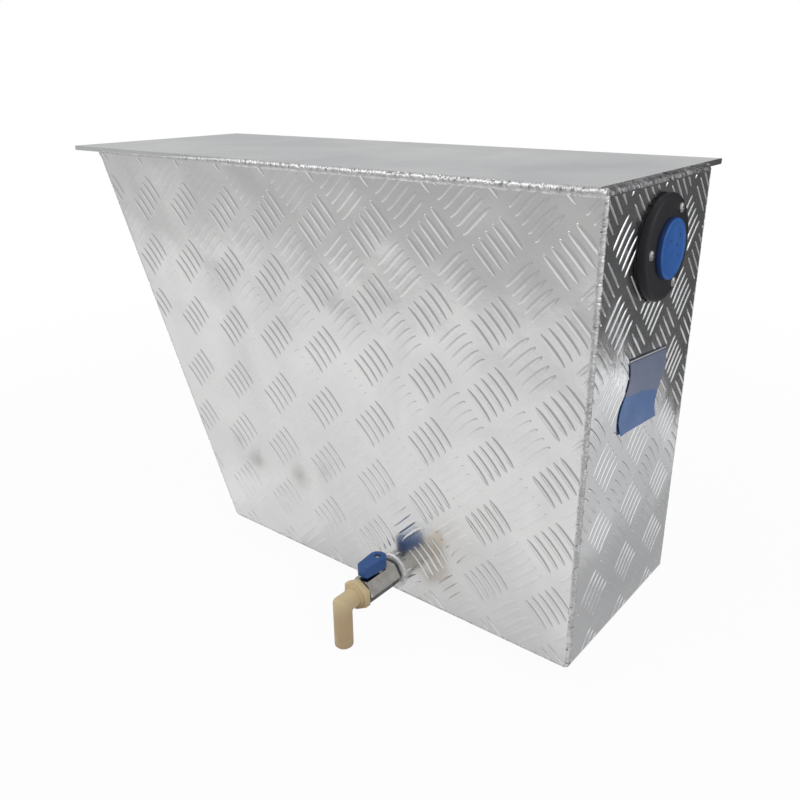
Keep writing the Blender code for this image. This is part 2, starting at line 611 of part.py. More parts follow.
def lever_outline(inset):
    # Round over the stem, straight flanks and a rounded tip, pointing out along local Y.
    radius = LEVER_END_RADIUS - inset
    half_tip = LEVER_TIP_WIDTH / 2 - inset
    reach = LEVER_LENGTH - LEVER_END_RADIUS - inset
    corner = half_tip / 2
    return [*arc((0, 0), radius, 0, 180, 10),
            *arc((-half_tip + corner, -reach + corner), corner, 180, 270, 4),
            *arc((half_tip - corner, -reach + corner), corner, 270, 360, 4)]


def build_lever():
    foot = FLAT_HEIGHT + LEVER_CLEAR
    top = foot + LEVER_HEIGHT
    spot = STEM_AXIS + Vector((0, 0, (foot + top) / 2))
    lever = flat("valve_lever", lever_outline(0), LEVER_HEIGHT, BLUE, spot, UPRIGHT)
    rounded(lever, LEVER_EDGE, 2)
    pocket_height = LEVER_HEIGHT - LEVER_ROOF
    pocket_spot = STEM_AXIS + Vector((0, 0, foot + pocket_height / 2 - WALL / 2))
    boolean(lever, flat("lever_pocket", lever_outline(LEVER_WALL), pocket_height + WALL, None, pocket_spot,
                        UPRIGHT, cutter=True))
    hub_foot = BOSS_TOP + RUNNING
    hub_radius = STEM_SQUARE / math.sqrt(2) + LEVER_HUB_WALL
    hub = prism(SMALL, hub_radius, hub_foot, top - LEVER_ROOF / 2)
    boolean(lever, solid("lever_hub", hub, None, STEM_AXIS, UPRIGHT, cutter=True), "UNION")
    roof = BOSS_TOP + STEM_TOP + GAP
    size = STEM_SQUARE + 2 * GAP
    socket = block((size, size, STEM_TOP + WALL), (0, 0, roof - (STEM_TOP + WALL) / 2))
    boolean(lever, solid("lever_socket", socket, None, STEM_AXIS, UPRIGHT, cutter=True))
    seat = top - LEVER_SCREW_SINK
    shaft = prism(FINE, LEVER_SCREW_RADIUS + GAP, BOSS_TOP, top + WALL)
    boolean(lever, solid("lever_screw_hole", shaft, None, STEM_AXIS, UPRIGHT, cutter=True))
    sink = prism(FINE, LEVER_SCREW_HEAD + GAP, seat, top + WALL)
    boolean(lever, solid("lever_screw_seat", sink, None, STEM_AXIS, UPRIGHT, cutter=True))
    head_foot = seat + GAP
    head_top = head_foot + LEVER_SCREW_RADIUS
    head = [(0, head_top), *[(LEVER_SCREW_HEAD * x, head_foot + LEVER_SCREW_RADIUS * y)
                             for x, y in arc((0, 0), 1, 60, 0, 3)],
            (LEVER_SCREW_RADIUS, head_foot), (LEVER_SCREW_RADIUS, BOSS_TOP + 2 * GAP),
            (0, BOSS_TOP + 2 * GAP)]
    turned("lever_screw", head, STEEL, FINE, STEM_AXIS, UPRIGHT)


# Spout

def elbow(radius, back, drop, sides):
    # From this far in front of the panel out along -Y, round a full corner and straight down.
    def shape(work):
        front = FRONT_Y - VALVE_FRONT - SPOUT_REACH
        rings = [[] for _ in range(ELBOW_STEPS + 3)]
        for i in range(sides):
            angle = math.tau * i / sides
            x, out = TAP_AXIS.x + radius * math.cos(angle), radius * math.sin(angle)
            share = (1 + math.sin(angle)) / 2
            bend = SPOUT_CROOK + (SPOUT_CORNER - SPOUT_CROOK) * share
            middle = (front - out + bend, TAP_AXIS.z + out - bend)
            run = [(FRONT_Y - back, TAP_AXIS.z + out), *arc(middle, bend, 90, 180, ELBOW_STEPS),
                   (front - out, TAP_AXIS.z - drop)]
            for ring, (y, z) in zip(rings, run):
                ring.append(work.verts.new((x, y, z)))
        for first, last in zip(rings, rings[1:]):
            for i in range(sides):
                j = (i + 1) % sides
                work.faces.new((first[i], first[j], last[j], last[i]))
        work.faces.new(rings[0])
        work.faces.new(rings[-1])
        bmesh.ops.recalc_face_normals(work, faces=work.faces)
    return shape


def build_spout():
    collar_back = VALVE_FRONT + GAP + WASHER_THICKNESS + GAP
    collar_front = collar_back + SPOUT_COLLAR
    pipe = elbow(SPOUT_RADIUS, collar_back + SPOUT_COLLAR / 2, SPOUT_DROP, SMALL)
    spout = rounded(solid("spout_elbow", pipe, BEIGE), SPOUT_END, 3)
    collar = prism(6, hexagon_radius(VALVE_FLATS + COLLAR_OVER), collar_back, collar_front)
    nut = solid("spout_collar", collar, None, TAP_AXIS, OUT_OF_FRONT, cutter=True)
    boolean(spout, rounded(nut, SPOUT_EDGE, 2), "UNION")
    shoulder = prism(SMALL, SPOUT_SHOULDER, collar_back + GAP, collar_front + SPOUT_SHOULDER_LENGTH)
    boolean(spout, solid("spout_shoulder", shoulder, None, TAP_AXIS, OUT_OF_FRONT, cutter=True), "UNION")
    thread = prism(SMALL, THREAD_RADIUS, THREAD_END, collar_back + SPOUT_EDGE + GAP)
    boolean(spout, solid("spout_thread", thread, None, TAP_AXIS, OUT_OF_FRONT, cutter=True), "UNION")
    bore = elbow(SPOUT_BORE, THREAD_END - WALL, SPOUT_DROP + WALL, FINE)
    boolean(spout, solid("spout_bore", bore, None, cutter=True))
    back = VALVE_FRONT + GAP
    ring = [(CHAMBER_RADIUS, back + WASHER_THICKNESS), (FLAT_HEIGHT - GAP, back + WASHER_THICKNESS),
            (FLAT_HEIGHT - GAP, back), (CHAMBER_RADIUS, back)]
    turned("spout_washer", ring, RUBBER, SMALL, TAP_AXIS, OUT_OF_FRONT, ring=True)


build_top_plate()
build_wrap_shell()
build_end_panels()
build_seam_welds()
build_lid_welds()
build_filler()
build_cap()
build_label()
build_socket()
build_valve_body()
build_valve_inside()
build_stem()
build_lever()
build_spout()
for piece in parts.objects:
    smooth(piece.data)
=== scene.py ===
import json
import math

import bmesh
import bpy
from mathutils import Matrix, Vector


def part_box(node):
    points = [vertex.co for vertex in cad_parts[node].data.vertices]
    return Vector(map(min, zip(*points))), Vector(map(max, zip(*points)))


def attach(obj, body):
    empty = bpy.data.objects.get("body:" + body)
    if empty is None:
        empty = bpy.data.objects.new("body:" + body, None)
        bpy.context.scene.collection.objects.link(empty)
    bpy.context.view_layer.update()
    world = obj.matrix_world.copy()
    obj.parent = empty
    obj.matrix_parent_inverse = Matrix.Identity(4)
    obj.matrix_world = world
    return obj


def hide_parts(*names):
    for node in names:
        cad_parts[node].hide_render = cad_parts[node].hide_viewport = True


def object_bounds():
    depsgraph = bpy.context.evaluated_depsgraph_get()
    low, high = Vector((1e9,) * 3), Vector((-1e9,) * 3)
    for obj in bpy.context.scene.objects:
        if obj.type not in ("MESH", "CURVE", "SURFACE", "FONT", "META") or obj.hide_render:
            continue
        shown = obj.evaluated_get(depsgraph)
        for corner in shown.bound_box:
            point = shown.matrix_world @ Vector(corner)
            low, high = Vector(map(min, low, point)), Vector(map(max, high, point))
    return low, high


# Looks for the tapered tread-plate water tank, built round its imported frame

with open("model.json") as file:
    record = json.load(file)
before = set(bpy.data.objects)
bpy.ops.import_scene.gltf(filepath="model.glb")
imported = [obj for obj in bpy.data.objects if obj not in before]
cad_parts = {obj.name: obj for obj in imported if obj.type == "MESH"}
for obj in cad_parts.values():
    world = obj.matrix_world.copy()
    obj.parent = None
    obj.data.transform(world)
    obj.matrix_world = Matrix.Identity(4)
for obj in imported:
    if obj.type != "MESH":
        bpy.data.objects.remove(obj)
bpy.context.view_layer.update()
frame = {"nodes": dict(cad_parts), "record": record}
nodes = frame["nodes"]
scene = bpy.context.scene
print("frame loaded,", len(nodes), "nodes")

wrapLow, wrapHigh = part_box("wrap_shell")
capLow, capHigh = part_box("filler_cap")
flangeLow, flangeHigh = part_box("filler_flange")
hexLow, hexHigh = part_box("spout_washer")

# outer faces of the walls, underside and top edge
rightX, leftX = wrapHigh.x, wrapLow.x
frontY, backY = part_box("front_panel")[0].y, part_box("back_panel")[1].y
baseZ, topZ = wrapLow.z, wrapHigh.z
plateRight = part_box("top_plate")[1].x
tank = {
    "baseLength": 0.431,  # outside length at the base
    "sheet": 0.003,
    "fold": 0.006,  # outside radius of the folds
}
tankHeight = topZ - baseZ
tankDepth = backY - frontY
topLength = rightX - leftX
flangeRadius = (flangeHigh.y - flangeLow.y) / 2
fillerCentre = Vector((rightX, (flangeLow.y + flangeHigh.y) / 2, (flangeLow.z + flangeHigh.z) / 2))
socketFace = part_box("outlet_socket")[0].y
tapCentre = Vector(((hexLow.x + hexHigh.x) / 2, frontY, (hexLow.z + hexHigh.z) / 2))


# Small helpers

def addNode(tree, kind, inputs=None, **settings):
    # an input that is given a socket is linked, any other is set
    node = tree.nodes.new(kind)
    for key, value in settings.items():
        setattr(node, key, value)
    for key, value in (inputs or {}).items():
        if isinstance(value, bpy.types.NodeSocket):
            tree.links.new(value, node.inputs[key])
        else:
            node.inputs[key].default_value = value
    return node


def firstOf(tree, kind, inputs=None, **settings):
    # the first output of a new node
    return addNode(tree, kind, inputs, **settings).outputs[0]


def addMath(tree, operation, first, second=0.0):
    return firstOf(tree, "ShaderNodeMath", {0: first, 1: second}, operation=operation)


def plus(tree, first, second):
    return addMath(tree, "ADD", first, second)


def minus(tree, first, second):
    return addMath(tree, "SUBTRACT", first, second)


def times(tree, first, second):
    return addMath(tree, "MULTIPLY", first, second)


def vectorMath(tree, operation, first, second=(0, 0, 0), output="Value"):
    return addNode(tree, "ShaderNodeVectorMath", {0: first, 1: second}, operation=operation).outputs[output]


def combine(tree, **parts):
    return firstOf(tree, "ShaderNodeCombineXYZ", parts)


def separate(tree, vector):
    return addNode(tree, "ShaderNodeSeparateXYZ", {0: vector}).outputs


def mapRange(tree, value, given, wanted=(0.0, 1.0), curve="LINEAR"):
    return firstOf(tree, "ShaderNodeMapRange", {
        "Value": value, "From Min": given[0], "From Max": given[1], "To Min": wanted[0], "To Max": wanted[1]},
        interpolation_type=curve)


def objectPlace(tree):
    return addNode(tree, "ShaderNodeTexCoord").outputs["Object"]


def newGroup(name, kind, inputs, outputs):
    # each socket's label and kind; returns the tree and the sockets inside it
    tree = bpy.data.node_groups.new(name, kind)
    for way, sockets in (("INPUT", inputs), ("OUTPUT", outputs)):
        for socketName, socketKind in sockets.items():
            tree.interface.new_socket(socketName, in_out=way, socket_type="NodeSocket" + socketKind)
    return tree, tree.nodes.new("NodeGroupInput").outputs, tree.nodes.new("NodeGroupOutput").inputs


def linkObject(name, data):
    made = bpy.data.objects.new(name, data)
    scene.collection.objects.link(made)
    return made


def startWork(mesh):
    work = bmesh.new()
    work.from_mesh(mesh)
    return work


def endWork(work, mesh):
    # turns every face outwards
    bmesh.ops.recalc_face_normals(work, faces=work.faces)
    work.to_mesh(mesh)
    work.free()
    return mesh


def closeUp(mesh):
    # merges doubled corners
    work = startWork(mesh)
    bmesh.ops.remove_doubles(work, verts=work.verts, dist=1e-6)
    endWork(work, mesh)


def discard(*spares):
    for spare in spares:
        bpy.data.objects.remove(spare, do_unlink=True)


def bakedMesh(host):
    # the evaluated shape as a plain mesh
    bpy.context.view_layer.update()
    return bpy.data.meshes.new_from_object(host.evaluated_get(bpy.context.evaluated_depsgraph_get()))


def cutWith(mesh, toolMesh):
    # takes the tool's shape out of a mesh
    target, tool = linkObject("cutTarget", mesh), linkObject("cutTool", toolMesh)
    cut = target.modifiers.new("cut", "BOOLEAN")
    cut.object, cut.solver = tool, "EXACT"
    made = bakedMesh(target)
    discard(target, tool)
    return made


def pick(values, names):
    return (values[name] for name in names.split())


def finishPiece(name, mesh, body, replaced=(), *, smoothAngle):
    # a finished piece sits at the origin and rides on its body
    mesh.name = name
    mesh.shade_smooth()
    mesh.set_sharp_from_angle(angle=math.radians(smoothAngle))
    made = linkObject(name, mesh)
    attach(made, body)
    if replaced:
        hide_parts(*replaced)


# Camera, at the photograph's angle

cameraPlace = {
    "fromRight": 0.2403,  # to the right of the upright wall
    "inFront": 0.5189,  # ahead of the front face
    "aboveBase": 0.4753,
    "yaw": 39.17,
    "pitch": 21.95,
    "roll": -0.63,
    "focalPixels": 806.7,
    "framePixels": 800,
    "sensor": 36.0,
}


def buildCamera(values):
    lens = bpy.data.cameras.new("photoCamera")
    lens.sensor_width = values["sensor"]
    lens.lens = values["sensor"] * values["focalPixels"] / values["framePixels"]
    lens.clip_start, lens.clip_end = 0.01, 50
    yaw, pitch, roll = map(math.radians, pick(values, "yaw pitch roll"))
    ahead = Vector((-math.sin(yaw) * math.cos(pitch), math.cos(yaw) * math.cos(pitch), -math.sin(pitch)))
    level = Vector((math.cos(yaw), math.sin(yaw), 0))
    side = level * math.cos(roll) + level.cross(ahead) * math.sin(roll)
    turn = Matrix((side, side.cross(ahead), -ahead)).transposed().to_4x4()
    spot = Vector((rightX + values["fromRight"], frontY - values["inFront"], baseZ + values["aboveBase"]))
    made = linkObject("photoCamera", lens)
    made.matrix_world = Matrix.Translation(spot) @ turn
    scene.camera = made


buildCamera(cameraPlace)
scene.view_settings.view_transform = "Standard"

# Plain pale floor, soft light and grey cards that only the metal sees

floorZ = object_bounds()[0].z
stage = {
    "floorSize": 14.0,
    "floorColour": (0.80, 0.80, 0.80, 1),
    "cameraShare": 0.95,  # how far the floor is pushed to white for the camera
    "clear": (0.55, 1.50),  # distances from the tank over which it reaches full white
    "glossShare": 0.42,  # how far it is pushed to white in reflections
    "ambient": 0.55,
    "glossAmbient": 0.62,
    "gainSpan": (-1.45, -0.65),  # where a card's extra level at the left fades in
}
lamps = {
    "keyLamp": {"place": (-0.9, -1.3, 1.7), "target": (0, 0, -0.2), "size": 2.2, "power": 19.0},
    "sideLamp": {"place": (1.7, 0.2, 0.9), "target": (0.3, 0, -0.2), "size": 1.2, "power": 7.0},
}
frontShades = [(0, 0.65), (0.11, 0.52), (0.28, 0.46), (0.55, 0.41), (1.3, 0.41)]
# upright cards: start, end, top, (height over the floor, level) pairs, gain at the far left
wallCards = {
    "backCard": ((0.28, 0.327), (1.40, 1.380), 0.9, [(0, 0.09), (1, 0.07)], 1.0),
    "frontCard": ((-2.6, -1.05), (0.6, -1.05), 0.9, frontShades, 1.2),
    "shineCard": ((1.75, -0.40), (1.55, 1.40), 0.0, [(0, 1.0), (1, 1.0)], 1.0),
    "barWall": ((0.0, -1.04), (0.95, -1.04), 0.1, [(0, 0.40), (1, 0.40)], 1.0),
    "leftCard": ((-2.0, -1.05), (-2.0, 0.4), 0.9, frontShades, 1.2),
}
# cards on the floor: corners, level, height over the floor
floorCards = {
    # painted shadow: the side and foot cards are darker sheets where the tank's shadow lies on the floor,
    # seen only in reflections
    "sideCard": ([(0.345, -0.12), (0.54, 0.10), (0.60, 0.54), (0.345, 0.325)], 0.57, 0.001),
    "footCard": ([(0.34, -0.13), (0.42, -0.13), (0.42, 0.38), (0.34, 0.30)], 0.42, 0.002),
    "farCard": ([(0.50, -0.16), (1.20, -0.16), (1.20, 0.85), (0.76, 0.79)], 0.32, 0.002),
    "glareCard": ([(0.60, 0.52), (0.74, 0.66), (0.70, 0.76), (0.58, 0.60)], 1.05, 0.003),
    "barCard": ([(0.40, -0.16), (0.95, -0.16), (0.95, -1.04), (-0.02, -1.04)], 0.42, 0.001),
}
# darker strips before the tank's foot, painted contact shadow seen only in reflections: left, right, start,
# end, level
footShadowStrips = [
    (-0.02, 0.335, -0.125, -0.165, 0.60), (-0.02, 0.335, -0.165, -0.205, 0.66),
    (-0.02, 0.335, -0.205, -0.265, 0.72), (-0.02, 0.335, -0.265, -0.36, 0.77),
    (-0.14, -0.02, -0.125, -0.205, 0.75), (-0.14, -0.02, -0.205, -0.36, 0.76),
    (-0.60, -0.14, -0.17, -0.25, 0.81), (-0.60, -0.14, -0.25, -0.40, 0.76),
]
stripLift = 0.0015


def lightRays(tree):
    path = addNode(tree, "ShaderNodeLightPath").outputs
    return path["Is Camera Ray"], addMath(tree, "MAXIMUM", path["Is Glossy Ray"], path["Is Transmission Ray"])


def paintedSheet(name, corners):
    mesh = bpy.data.meshes.new(name)
    mesh.from_pydata(corners, [], [(0, 1, 2, 3)])
    paint = bpy.data.materials.new(name)
    paint.use_nodes = True
    paint.node_tree.nodes.clear()
    mesh.materials.append(paint)
    return mesh, paint.node_tree


def buildFloor(values):
    half = values["floorSize"] / 2
    mesh, tree = paintedSheet("floor", [(x * half, y * half, floorZ)
                                        for x, y in ((-1, -1), (1, -1), (1, 1), (-1, 1))])
    camera, glossy = lightRays(tree)
    matt = firstOf(tree, "ShaderNodeBsdfDiffuse", {"Color": values["floorColour"]})
    white = firstOf(tree, "ShaderNodeEmission", {"Color": (1, 1, 1, 1), "Strength": 1.0})
    clear = mapRange(tree, vectorMath(tree, "LENGTH", objectPlace(tree)), values["clear"],
                     (values["cameraShare"], 1.0), "SMOOTHSTEP")
    share = addMath(tree, "MAXIMUM", times(tree, camera, clear), times(tree, glossy, values["glossShare"]))
    mixed = firstOf(tree, "ShaderNodeMixShader", {0: share, 1: matt, 2: white})
    addNode(tree, "ShaderNodeOutputMaterial", {"Surface": mixed})
    linkObject("floor", mesh)


def buildWorld(values):
    scene.world = bpy.data.worlds.new("studio")
    scene.world.use_nodes = True
    tree = scene.world.node_tree
    tree.nodes.clear()
    camera, glossy = lightRays(tree)
    extra = plus(tree, times(tree, camera, 1 - values["ambient"]),
                 times(tree, glossy, values["glossAmbient"] - values["ambient"]))
    sky = firstOf(tree, "ShaderNodeBackground", {
        "Color": (1, 1, 1, 1), "Strength": plus(tree, values["ambient"], extra)})
    addNode(tree, "ShaderNodeOutputWorld", {"Surface": sky})


def buildLamp(name, values):
    lamp = bpy.data.lights.new(name, "AREA")
    lamp.shape = "RECTANGLE"
    lamp.size = lamp.size_y = values["size"]
    lamp.energy = values["power"]
    made = linkObject(name, lamp)
    made.location = values["place"]
    towards = Vector(values["target"]) - Vector(values["place"])
    made.rotation_euler = towards.to_track_quat("-Z", "Y").to_euler()


def buildCard(name, corners, shades, leftGain=1.0):
    # a card that lights nothing and shows only in reflections
    mesh, tree = paintedSheet(name, corners)
    place = separate(tree, objectPlace(tree))
    reach = shades[-1][0]
    ramp = addNode(tree, "ShaderNodeValToRGB", {"Fac": mapRange(tree, place["Z"], (floorZ, floorZ + reach))})
    stops = ramp.color_ramp.elements
    for stop, (_, level) in zip((stops[0], stops[1]), (shades[0], shades[-1])):
        stop.color = (level, level, level, 1)
    for height, level in shades[1:-1]:
        stops.new(height / reach).color = (level, level, level, 1)
    gain = mapRange(tree, place["X"], stage["gainSpan"], (leftGain, 1.0), "SMOOTHSTEP")
    glow = firstOf(tree, "ShaderNodeEmission", {"Color": ramp.outputs[0], "Strength": gain})
    addNode(tree, "ShaderNodeOutputMaterial", {"Surface": glow})
    made = linkObject(name, mesh)
    made.visible_camera = made.visible_diffuse = made.visible_shadow = made.visible_transmission = False


def floorCard(name, spots, level, lift):
    buildCard(name, [(x, y, floorZ + lift) for x, y in spots], [(0, level), (1, level)])


buildFloor(stage)
buildWorld(stage)
for name, values in lamps.items():
    buildLamp(name, values)
for name, (start, end, top, shades, leftGain) in wallCards.items():
    buildCard(name, [(*start, floorZ), (*end, floorZ), (*end, top), (*start, top)], shades, leftGain)
for name, values in floorCards.items():
    floorCard(name, *values)
for left, right, start, end, level in footShadowStrips:
    floorCard("footStrip", [(left, start), (left, end), (right, end), (right, start)], level, stripLift)
print("stage ready")


# Shared shader effects

def noiseOf(tree, vector, scale, detail, **more):
    return addNode(tree, "ShaderNodeTexNoise", {
        "Vector": vector, "Scale": scale, "Detail": detail, **more}).outputs["Fac"]


def buildMarksGroup():
    # cloudy handling marks and small specks
    tree, given, sink = newGroup("surfaceMarks", "ShaderNodeTree", {
        "Vector": "Vector", "Cloud Scale": "Float", "Speck Scale": "Float"},
        {"Clouds": "Float", "Specks": "Float"})
    clouds = noiseOf(tree, given["Vector"], given["Cloud Scale"], 5.0, Roughness=0.55, Distortion=0.6)
    specks = noiseOf(tree, given["Vector"], given["Speck Scale"], 2.0)
    tree.links.new(mapRange(tree, clouds, (0.35, 0.68)), sink["Clouds"])
    tree.links.new(mapRange(tree, specks, (0.30, 0.70)), sink["Specks"])
    return tree


def buildLinesGroup():
    # fine drawn lines along one axis
    tree, given, sink = newGroup("drawnLines", "ShaderNodeTree", {
        "Vector": "Vector", "Stretch": "Vector", "Line Scale": "Float"}, {"Lines": "Float"})
    drawn = vectorMath(tree, "MULTIPLY", given["Vector"], given["Stretch"], "Vector")
    lines = noiseOf(tree, drawn, given["Line Scale"], 3.0, Roughness=0.65)
    tree.links.new(mapRange(tree, lines, (0.3, 0.7)), sink["Lines"])
    return tree


def buildHazeGroup():
    # round patch with a ragged edge
    tree, given, sink = newGroup("raggedPatch", "ShaderNodeTree", {
        "Vector": "Vector", "Centre": "Vector", "Inner": "Float", "Outer": "Float", "Ragged": "Float"},
        {"Haze": "Float"})
    away = vectorMath(tree, "DISTANCE", given["Vector"], given["Centre"])
    ragged = times(tree, noiseOf(tree, given["Vector"], 110.0, 3.0), given["Ragged"])
    tree.links.new(mapRange(tree, plus(tree, away, ragged), (given["Outer"], given["Inner"]),
                            curve="SMOOTHSTEP"), sink["Haze"])
    return tree


marksGroup = buildMarksGroup()
linesGroup = buildLinesGroup()
hazeGroup = buildHazeGroup()


def placeGroup(tree, group, inputs):
    return addNode(tree, "ShaderNodeGroup", inputs, node_tree=group).outputs


def drawnLines(tree, coords, stretch, scale):
    return placeGroup(tree, linesGroup, {"Vector": coords, "Stretch": stretch, "Line Scale": scale})["Lines"]


def startMaterial(name, roughness, metallic, cloudScale, speckScale, plain=None):
    made = bpy.data.materials.new(name)
    made.use_nodes = True
    tree = made.node_tree
    for key, value in {"Roughness": roughness, "Metallic": metallic, **(plain or {})}.items():
        tree.nodes["Principled BSDF"].inputs[key].default_value = value
    coords = objectPlace(tree)
    marks = placeGroup(tree, marksGroup, {
        "Vector": coords, "Cloud Scale": cloudScale, "Speck Scale": speckScale})
    return made, tree, coords, marks["Clouds"], marks["Specks"]


def finishMaterial(made, tone, sheen, heights):
    # heights is a list of (value, weight in millimetres)
    tree = made.node_tree
    inputs = tree.nodes["Principled BSDF"].inputs
    total = 0.0
    for value, weight in heights:
        total = plus(tree, total, times(tree, value, weight))
    bump = addNode(tree, "ShaderNodeBump", {"Strength": 1.0, "Distance": 0.001, "Height": total})
    for socket, key in ((tone, "Base Color"), (sheen, "Roughness"), (bump.outputs["Normal"], "Normal")):
        tree.links.new(socket, inputs[key])
    return made


def mixColour(tree, share, first, second):
    first, second = ((*tone, 1) if isinstance(tone, tuple) else tone for tone in (first, second))
    return addNode(tree, "ShaderNodeMix", {0: share, 6: first, 7: second}, data_type="RGBA").outputs[2]


def spread(tree, value, low, high):
    return mapRange(tree, value, (0.0, 1.0), (low, high))


finishes = {
    "tread": {"clean": (0.86, 0.86, 0.855), "dull": (0.77, 0.77, 0.77), "smooth": 0.17, "rough": 0.28,
              "cloudScale": 10.0, "swell": 2.8, "dents": 0.13, "stretch": (1, 1, 1),
              "scrubbed": (0.93, 0.93, 0.93), "scrubbedMatt": 0.26, "scuffed": (0.57, 0.57, 0.555)},
    "wrap": {"clean": (0.86, 0.865, 0.88), "dull": (0.77, 0.775, 0.79), "smooth": 0.13, "rough": 0.22,
             "cloudScale": 10.0, "swell": 1.1, "dents": 0.14, "stretch": (1, 1, 1)},
    "socket": {"clean": (0.82, 0.82, 0.82), "dull": (0.70, 0.70, 0.70), "smooth": 0.34, "rough": 0.50,
               "cloudScale": 60.0, "swell": 0.4, "dents": 0.10, "stretch": (1, 1, 1)},
    "plain": {"clean": (0.72, 0.73, 0.74), "dull": (0.62, 0.63, 0.645), "smooth": 0.20, "rough": 0.34,
              "cloudScale": 6.0, "swell": 0.8, "dents": 0.02, "stretch": (0.03, 1, 1)},
    # the welds' sooty tone darkens the pits: weld soot together with painted shade
    "weld": {"clean": (0.84, 0.84, 0.84), "dull": (0.60, 0.60, 0.60),
             "sootAndPitShadeTone": (0.24, 0.24, 0.25), "smooth": 0.22, "rough": 0.44},
    "lidWeld": {"clean": (0.46, 0.46, 0.47), "dull": (0.13, 0.13, 0.135),
                "sootAndPitShadeTone": (0.05, 0.05, 0.055), "smooth": 0.32, "rough": 0.58},
    "socketWeld": {"clean": (0.84, 0.84, 0.84), "dull": (0.66, 0.66, 0.66),
                   "sootAndPitShadeTone": (0.30, 0.30, 0.30), "smooth": 0.36, "rough": 0.56},
}
metalGrain = {"specks": 700.0, "swellScale": 21.0, "dentScale": 85.0, "lineScale": 260.0,
              "lineDepth": 0.02, "speckDepth": 0.012}
# lowest and highest roughness, over the mean
mouldedSheen, platedSheen, filmSheen = (0.85, 1.25), (0.8, 1.4), (0.8, 1.3)
scrubRing = {"Centre": tapCentre, "Inner": 0.020, "Outer": 0.036, "Ragged": 0.014}
# each scuff: distance from the right end, rise over the base, inner and outer radius
scuffMarks = [(0.386, 0.085, 0.004, 0.026), (0.319, 0.086, 0.004, 0.026),
              (0.412, 0.103, -0.020, 0.026), (0.283, 0.104, -0.020, 0.026)]


def aluminium(name, values, marked=False):
    made, tree, coords, clouds, specks = startMaterial(
        name, values["smooth"], 1.0, values["cloudScale"], metalGrain["specks"])
    tone = mixColour(tree, clouds, values["clean"], values["dull"])
    sheen = spread(tree, clouds, values["smooth"], values["rough"])
    if marked:
        # scrubbed ring where a weld was cleaned, and scuffs low on the front
        haze = placeGroup(tree, hazeGroup, {"Vector": coords, **scrubRing})["Haze"]
        tone = mixColour(tree, haze, tone, values["scrubbed"])
        sheen = plus(tree, sheen, times(tree, haze, values["scrubbedMatt"]))
        for left, rise, inner, outer in scuffMarks:
            centre = Vector((rightX - left, frontY, baseZ + rise))
            worn = placeGroup(tree, hazeGroup, {"Vector": coords, "Centre": centre, "Inner": inner,
                                                "Outer": outer, "Ragged": scrubRing["Ragged"]})["Haze"]
            tone = mixColour(tree, worn, tone, values["scuffed"])
    return finishMaterial(made, tone, sheen, [
        (noiseOf(tree, coords, metalGrain["swellScale"], 0.5), values["swell"]),
        (noiseOf(tree, coords, metalGrain["dentScale"], 1.0), values["dents"]),
        (drawnLines(tree, coords, values["stretch"], metalGrain["lineScale"]), metalGrain["lineDepth"]),
        (specks, metalGrain["speckDepth"])])


def weldMaterial(name, values):
    made, tree, _, clouds, specks = startMaterial(
        name, values["smooth"], 1.0, cloudScale=160.0, speckScale=900.0)
    # the pits' darker colour is weld soot together with painted shade
    soot = addNode(tree, "ShaderNodeAttribute", attribute_name="soot").outputs["Fac"]
    tone = mixColour(tree, soot, mixColour(tree, clouds, values["clean"], values["dull"]), values["sootAndPitShadeTone"])
    sheen = spread(tree, specks, values["smooth"], values["rough"])
    return finishMaterial(made, tone, sheen, [(clouds, 0.25), (specks, 0.12)])


def shadedTone(tree, coords, tone, shades):
    # painted shade and light, each setting in along one axis
    for axis, shade in (shades or {}).items():
        share = mapRange(tree, separate(tree, coords)[axis], (shade["from"], shade["to"]))
        tone = mixColour(tree, share, tone, shade["colour"])
    return tone


def moulded(name, colour, faded, roughness, grain, shades=None, plain=None):
    # moulded plastic and rubber: soft mottling, fine skin grain
    made, tree, coords, clouds, specks = startMaterial(
        name, roughness, 0.0, cloudScale=45.0, speckScale=1500.0, plain=plain)
    tone = shadedTone(tree, coords, mixColour(tree, clouds, colour, faded), shades)
    sheen = spread(tree, clouds, *(min(1.0, roughness * share) for share in mouldedSheen))
    return finishMaterial(made, tone, sheen, [(specks, grain)])


def plated(name, clean, dull, roughness, shades=None, plain=None):
    # plated and turned metal: fine lines round the bar, small stains, painted shade where asked
    made, tree, coords, clouds, specks = startMaterial(
        name, roughness, 1.0, cloudScale=120.0, speckScale=1200.0, plain=plain)
    tone = shadedTone(tree, coords, mixColour(tree, clouds, clean, dull), shades)
    sheen = spread(tree, specks, *(roughness * share for share in platedSheen))
    return finishMaterial(made, tone, sheen, [
        (drawnLines(tree, coords, (0.1, 1, 0.1), 900.0), 0.02), (specks, 0.01)])


treadMetal = aluminium("treadAluminium", finishes["tread"], marked=True)
wrapMetal = aluminium("wrapAluminium", finishes["wrap"])
socketMetal = aluminium("socketAluminium", finishes["socket"])
plainMetal = aluminium("plainAluminium", finishes["plain"])
weldMetal = weldMaterial("weldMetal", finishes["weld"])
lidWeldMetal = weldMaterial("lidWeldMetal", finishes["lidWeld"])
socketWeldMetal = weldMaterial("socketWeldMetal", finishes["socketWeld"])

capFace = capHigh.x - 0.0005  # bottom of the shallow dish in the cap's top
# painted shade: the cap's blue turns darker below its face, on the skirt's side and in the dimples
paintedCapShade = {"from": capFace - 0.0002, "to": capFace - 0.0009, "colour": (0.006, 0.045, 0.190)}
# painted light: the spout's beige turns paler towards its top
paintedSpoutLight = {"from": tapCentre.z - 0.012, "to": tapCentre.z + 0.009, "colour": (0.68, 0.55, 0.33)}
# painted shade: the valve body turns dark below its axis
paintedBodyUnderShade = {"from": tapCentre.z - 0.0004, "to": tapCentre.z - 0.0020, "colour": (0.10, 0.10, 0.11)}
